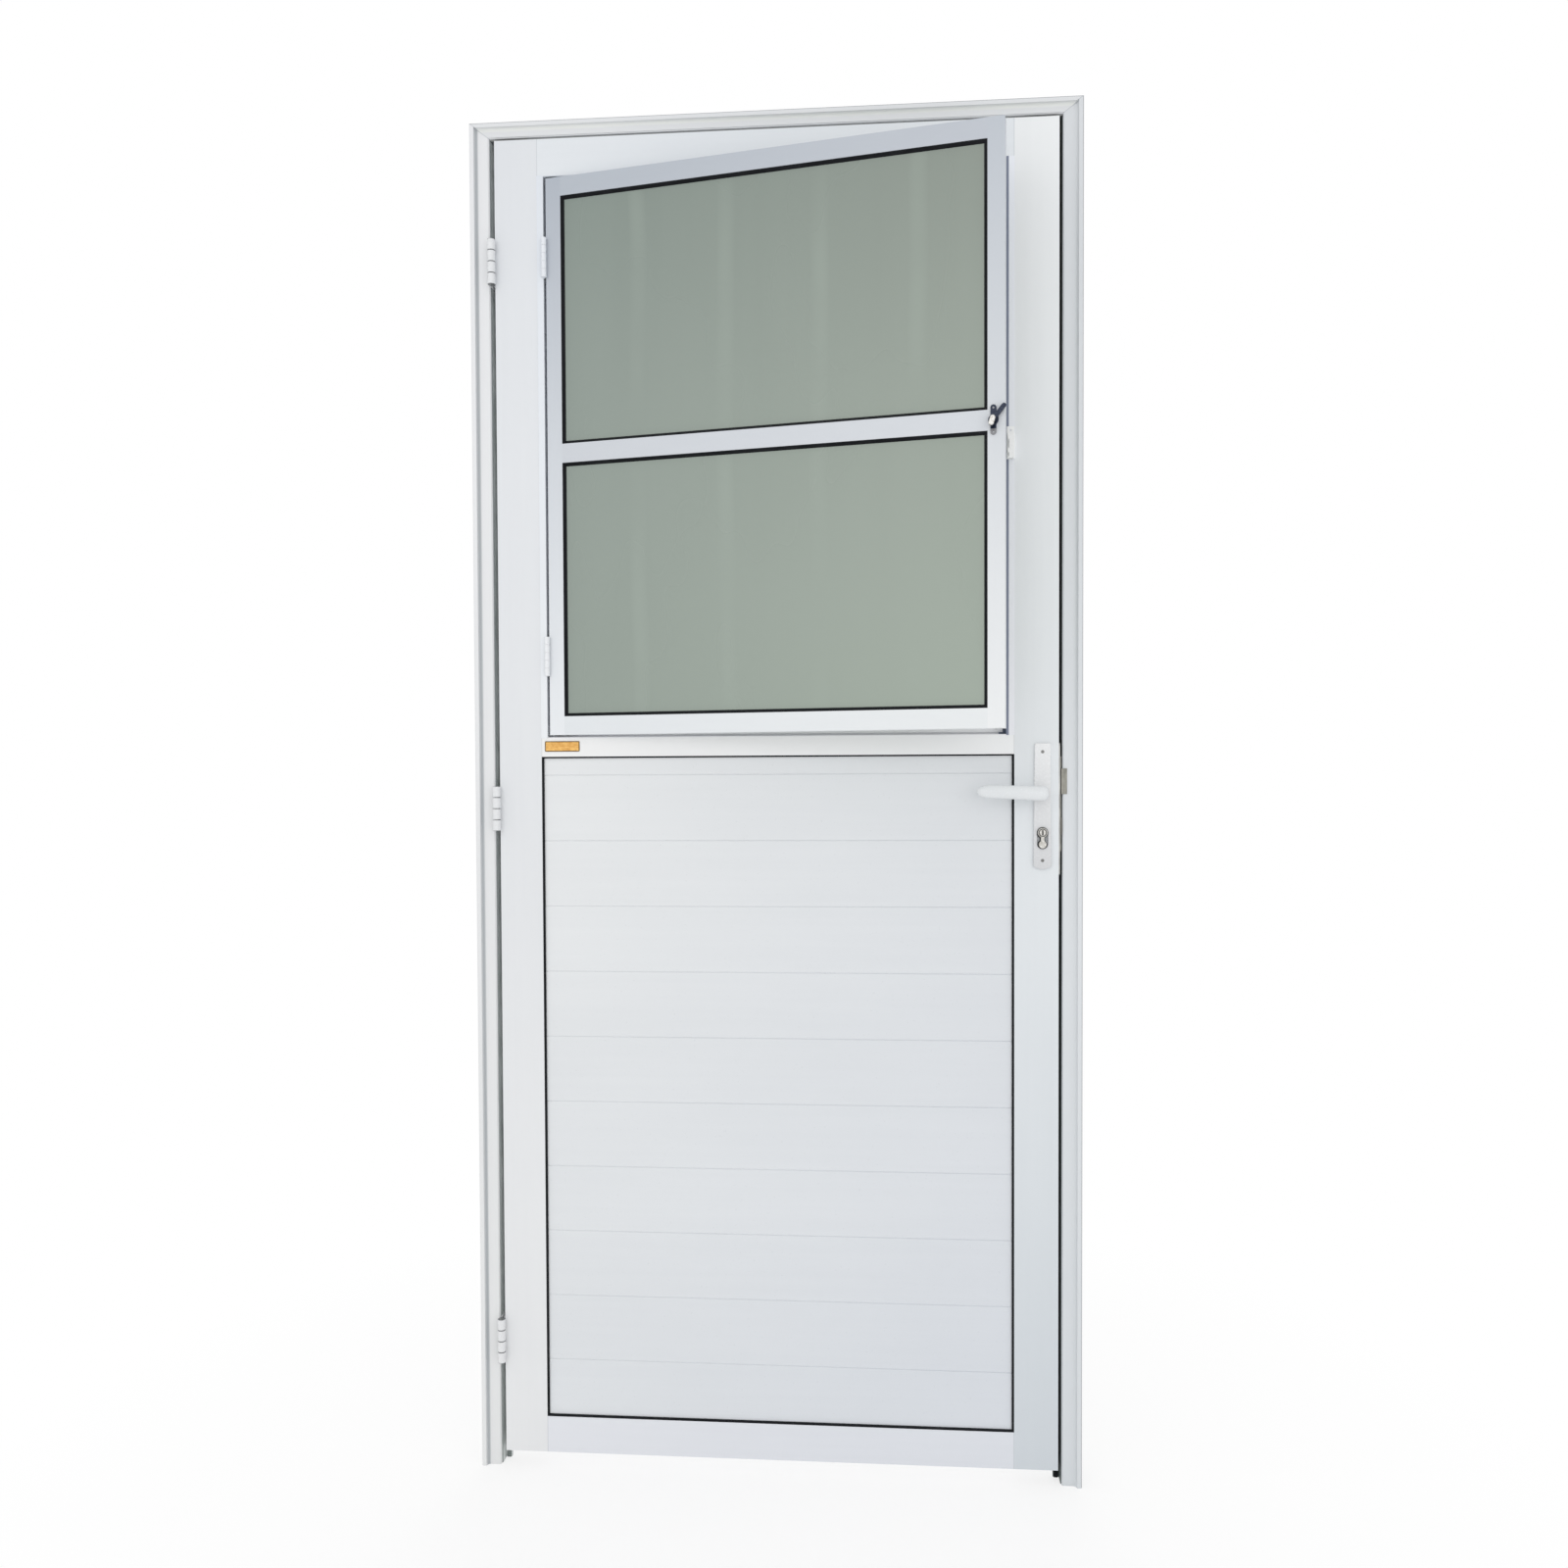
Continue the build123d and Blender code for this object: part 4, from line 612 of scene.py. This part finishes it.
# Bare metals
metalLook = {"lineSize": 0.0016, "lineAlong": (1, 1, 0.06), "lineShare": 0.45, "lineDepth": 0.00003,
             "stainSize": 0.014, "range": (0.35, 0.66), "shinier": -0.06, "duller": 0.14}
metals = {
    "steel": {
        "nodes": ["door_hinge_pins", "frame_screws", "leaf_screws", "rail_tie_screws", "spindle",
                  "deadbolt", "lock_case", "latch_bolt"],
        "light": (0.55, 0.55, 0.53), "dark": (0.36, 0.36, 0.35), "rough": 0.34, "metallic": 1.0},
    "screwSteel": {
        "nodes": ["plate_screws"],
        "light": (0.32, 0.32, 0.31), "dark": (0.12, 0.12, 0.12), "rough": 0.36, "metallic": 1.0},
    "strikeSteel": {
        "nodes": ["strike_plate"],
        "light": (0.36, 0.35, 0.31), "dark": (0.23, 0.225, 0.20), "rough": 0.46, "metallic": 0.7},
    "millAluminium": {
        "nodes": ["frame_corner_cleats"],
        "light": (0.60, 0.61, 0.62), "dark": (0.45, 0.46, 0.47), "rough": 0.4, "metallic": 1.0},
}


def bareMetal(name, kind, look=metalLook):
    metal = Finish(name)
    lines = metal.noise(look["lineSize"], detail=3, stretch=look["lineAlong"])
    stain = metal.noise(look["stainSize"], detail=5, rough=0.62)
    share, rough = look["lineShare"], kind["rough"]
    mix = metal.spread(lines * share + stain * (1 - share), *look["range"])
    metal.set(Base_Color=metal.blend(mix, kind["light"], kind["dark"]), Metallic=kind["metallic"],
              Roughness=metal.spread(mix, 0, 1, rough + look["shinier"], rough + look["duller"]),
              Normal=metal.bump(lines, look["lineDepth"]))
    return metal


# Lock cylinder: bright on its two end faces, black in the ring round the plug, with painted shade
# black round the sides and along the outline of the face
cylinderLook = {
    "bright": (0.72, 0.71, 0.68), "worn": (0.40, 0.385, 0.35), "jointAndShadeBlack": (0.012, 0.011, 0.010),
    "metallic": 0.85, "rough": (0.22, 0.40), "edge": 0.00025, "outline": 0.0013,
    "outlineSoft": 0.6, "plugRing": 0.00095, "topRadius": 0.0082, "lowRadius": 0.0067,
    "plugRadius": 0.0055, "waist": 0.0035, "wearSize": 0.0012, "wearRange": (0.4, 0.62),
    "wearDepth": 0.00002,
}


def lockNickel(look=cylinderLook):
    metal = Finish("lockNickel")
    low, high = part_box("cylinder_body")
    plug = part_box("cylinder_plug")
    across = metal.axis("X") - (plug[0].x + plug[1].x) / 2
    topZ, lowZ = high.z - look["topRadius"], low.z + look["lowRadius"]

    def fromCentre(z):
        up = metal.axis("Z") - z
        return metal.length(metal.node("ShaderNodeCombineXYZ", {}, across, up, 0.0))

    # the outline is a large circle, a small one below and a waist between them
    top = fromCentre(topZ)
    beyond = (metal.axis("Z") - (topZ + lowZ) / 2).unsigned() - (topZ - lowZ) / 2
    waist = (across.unsigned() - look["waist"]).larger(beyond)
    outside = (top - look["topRadius"]).smaller(fromCentre(lowZ) - look["lowRadius"]).smaller(waist)
    # Painted shade: the face goes black along its outline
    outline = metal.spread(outside, -look["outline"], -look["outline"] * look["outlineSoft"])
    ring = metal.line((top - look["plugRadius"]).unsigned(), look["plugRing"])
    middle, half = (low.y + high.y) / 2, (high.y - low.y) / 2
    depth = half - (metal.axis("Y") - middle).unsigned()
    face = metal.spread(depth, look["edge"], look["edge"] * 2, 1.0, 0.0)
    face = face * (1.0 - outline.larger(ring))
    wear = metal.noise(look["wearSize"], detail=4, rough=0.6)
    worn = metal.blend(metal.spread(wear, *look["wearRange"]), look["bright"], look["worn"])
    metal.set(Base_Color=metal.blend(face, look["jointAndShadeBlack"], worn), Metallic=face * look["metallic"],
              Roughness=metal.spread(wear, 0.3, 0.7, *look["rough"]),
              Normal=metal.bump(wear, look["wearDepth"], 0.4))
    return metal


# Hatch latch: dark blued plate and arm, a bright knob, the lower ear of the plate blended part way
# to the knob's bright metal
latchLook = {
    "blued": (0.020, 0.027, 0.050), "rubbed": (0.09, 0.11, 0.16), "rubbing": 0.6,
    "knob": (0.66, 0.65, 0.63), "knobWorn": (0.34, 0.28, 0.22), "knobStart": 0.0122,
    "knobSoft": 0.0003, "earDrop": 0.0125, "earSoft": 0.0004, "earShine": 0.3,
    "metallic": 0.5, "moreMetallic": 0.3, "scuffSize": 0.003, "scuffRange": (0.5, 0.72),
    "scuffDepth": 0.000005, "rough": (0.26, 0.42),
}


def latchMetal(look=latchLook):
    metal = Finish("latchMetal")
    joint = next(j for j in frame["joints"] if j["name"] == "hatch_latch_turn")
    pivot, axle = Vector(joint["pos_m"]), Vector(joint["axis"])
    proud = metal.node("ShaderNodeVectorMath", {"operation": "DOT_PRODUCT"}, metal.place,
                       tuple(axle), out=1)
    reach = pivot.dot(axle) + look["knobStart"]
    knob = metal.spread(proud, reach, reach + look["knobSoft"])
    fromEar = metal.axis("Z") - (pivot.z - look["earDrop"])
    ear = metal.spread(fromEar, -look["earSoft"], 0.0, 1.0, 0.0)
    shine = knob.larger(ear * look["earShine"])
    scuffs = metal.noise(look["scuffSize"], detail=4, rough=0.7)
    scuffs = metal.spread(scuffs, *look["scuffRange"])
    dark = metal.blend(scuffs * look["rubbing"], look["blued"], look["rubbed"])
    bright = metal.blend(scuffs, look["knob"], look["knobWorn"])
    metal.set(Base_Color=metal.blend(shine, dark, bright),
              Metallic=shine * look["moreMetallic"] + look["metallic"],
              Roughness=metal.spread(scuffs, 0, 1, *look["rough"]),
              Normal=metal.bump(scuffs, look["scuffDepth"]))
    return metal


# Pale grey brush strip in the hatch frame: slate on the sides as painted shade, near white along
# the sill as painted light
brushLook = {
    "slate": screen(104, 112, 128), "dusty": screen(150, 156, 166), "sill": screen(242, 242, 244),
    "sillHeight": 0.013, "sillSoft": 0.004, "tuftSize": 0.0011, "tuftAlong": (1, 1, 0.25),
    "tuftDepth": 0.00015, "rough": (0.7, 0.85),
}


def brushSeal(look=brushLook):
    strip = Finish("brushSeal")
    tufts = strip.noise(look["tuftSize"], detail=3, stretch=look["tuftAlong"])
    side = strip.blend(strip.spread(tufts, 0.35, 0.65), look["slate"], look["dusty"])
    rise = strip.axis("Z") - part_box("hatch_frame_seals")[0].z
    top = look["sillHeight"]
    sill = strip.spread(rise, top, top + look["sillSoft"], 1.0, 0.0)
    strip.set(Base_Color=strip.blend(sill, side, look["sill"]),
              Roughness=strip.spread(tufts, 0.3, 0.7, *look["rough"]),
              Normal=strip.bump(tufts, look["tuftDepth"], 0.6))
    return strip


# Small bare gilt plate on the middle rail
labelLook = {
    "fromStile": 0.0055, "wide": 0.0552, "tall": 0.0162, "thick": 0.0009, "raised": 0.0016,
    "corner": 0.0016, "cornerSteps": 5, "rim": 0.0015, "dish": 0.00025,
    "bevel": 0.00015, "bevelSteps": 2, "smoothUpTo": 35,
}
gilts = {
    "plateBorder": {"light": screen(128, 100, 50), "dark": screen(88, 66, 32),
                    "rough": (0.40, 0.56)},
    "plateGilt": {"light": screen(238, 192, 112), "dark": screen(206, 146, 70),
                  "rough": (0.34, 0.50)},
}
giltLook = {"metallic": 0.45, "brushSize": 0.0007, "brushAlong": (0.05, 1, 1), "brushShare": 0.4,
            "brushDepth": 0.00002, "blotSize": 0.006, "range": (0.36, 0.66)}


def giltMetal(name, tones, look=giltLook):
    gilt = Finish(name)
    brushed = gilt.noise(look["brushSize"], detail=3, stretch=look["brushAlong"])
    blots = gilt.noise(look["blotSize"], detail=4, rough=0.6)
    share = look["brushShare"]
    mix = gilt.spread(brushed * share + blots * (1 - share), *look["range"])
    gilt.set(Base_Color=gilt.blend(mix, tones["light"], tones["dark"]), Metallic=look["metallic"],
             Roughness=gilt.spread(mix, 0, 1, *tones["rough"]),
             Normal=gilt.bump(brushed, look["brushDepth"]))
    return gilt


def pickNone(kind):  # nothing picked, ready to pick edges or faces in code
    bpy.ops.object.mode_set(mode="EDIT")
    bpy.ops.mesh.select_mode(type=kind)
    bpy.ops.mesh.select_all(action="DESELECT")
    bpy.ops.object.mode_set(mode="OBJECT")


def labelPlate(look=labelLook):
    low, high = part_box("mid_rail")
    wide, thick, tall = look["wide"], look["thick"], look["tall"]
    middle = (stileEnds[0] + look["fromStile"] + wide / 2, low.y - thick / 2,
              (low.z + high.z) / 2 + look["raised"])
    bpy.ops.object.select_all(action="DESELECT")
    bpy.ops.mesh.primitive_cube_add(size=1, location=middle, scale=(wide, thick, tall))
    plate = bpy.context.object
    plate.name = "labelPlate"
    bpy.ops.object.transform_apply(location=True, rotation=True, scale=True)
    mesh = plate.data

    pickNone("EDGE")
    for edge in mesh.edges:  # the four short edges at the corners
        first, second = (mesh.vertices[index].co for index in edge.vertices)
        edge.select = abs(first.y - second.y) > thick / 2
    bpy.ops.object.mode_set(mode="EDIT")
    bpy.ops.mesh.bevel(offset=look["corner"], segments=look["cornerSteps"])

    pickNone("FACE")
    for polygon in mesh.polygons:  # the front, dished inside its rim
        polygon.select = polygon.normal.y < -0.9
    bpy.ops.object.mode_set(mode="EDIT")
    bpy.ops.mesh.inset(thickness=look["rim"])
    bpy.ops.transform.translate(value=(0, look["dish"], 0))
    bpy.ops.object.mode_set(mode="OBJECT")

    for name, tones in gilts.items():
        mesh.materials.append(giltMetal(name, tones).material)
    for polygon in mesh.polygons:
        if polygon.select:
            polygon.material_index = 1
    trim = plate.modifiers.new("softEdges", "BEVEL")
    trim.width, trim.segments, trim.limit_method = look["bevel"], look["bevelSteps"], "ANGLE"
    bpy.ops.object.modifier_apply(modifier=trim.name)
    bpy.ops.object.shade_smooth_by_angle(angle=radians(look["smoothUpTo"]))
    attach(plate, "leaf")
    print("label plate on the rail")


placeCamera(cameraLook)
layFloor(studio)
hangSky(studio)
hangLamps(studio)
print("studio lit")

for coatName, coat in coats.items():
    dress(whitePaint(coatName, coat), *coat["nodes"])
for jambName, tones in jambs.items():
    dress(jambPaint(jambName, tones), *tones["nodes"])
for metalName, kind in metals.items():
    dress(bareMetal(metalName, kind), *kind["nodes"])
dress(blackRubber("gasketRubber"), "panel_gaskets", "pane_gaskets")
dress(blackRubber("sealRubber", paintedGapLight=True), "frame_seals")
dress(brushSeal(), "hatch_frame_seals")
dress(tintedGlass(), "upper_pane", "lower_pane")
dress(lockNickel(), "cylinder_body", "cylinder_plug")
dress(latchMetal(), "hatch_latch_base", "hatch_latch_turn")
print("finishes on")

labelPlate()

bpy.context.scene.view_settings.view_transform = "Standard"
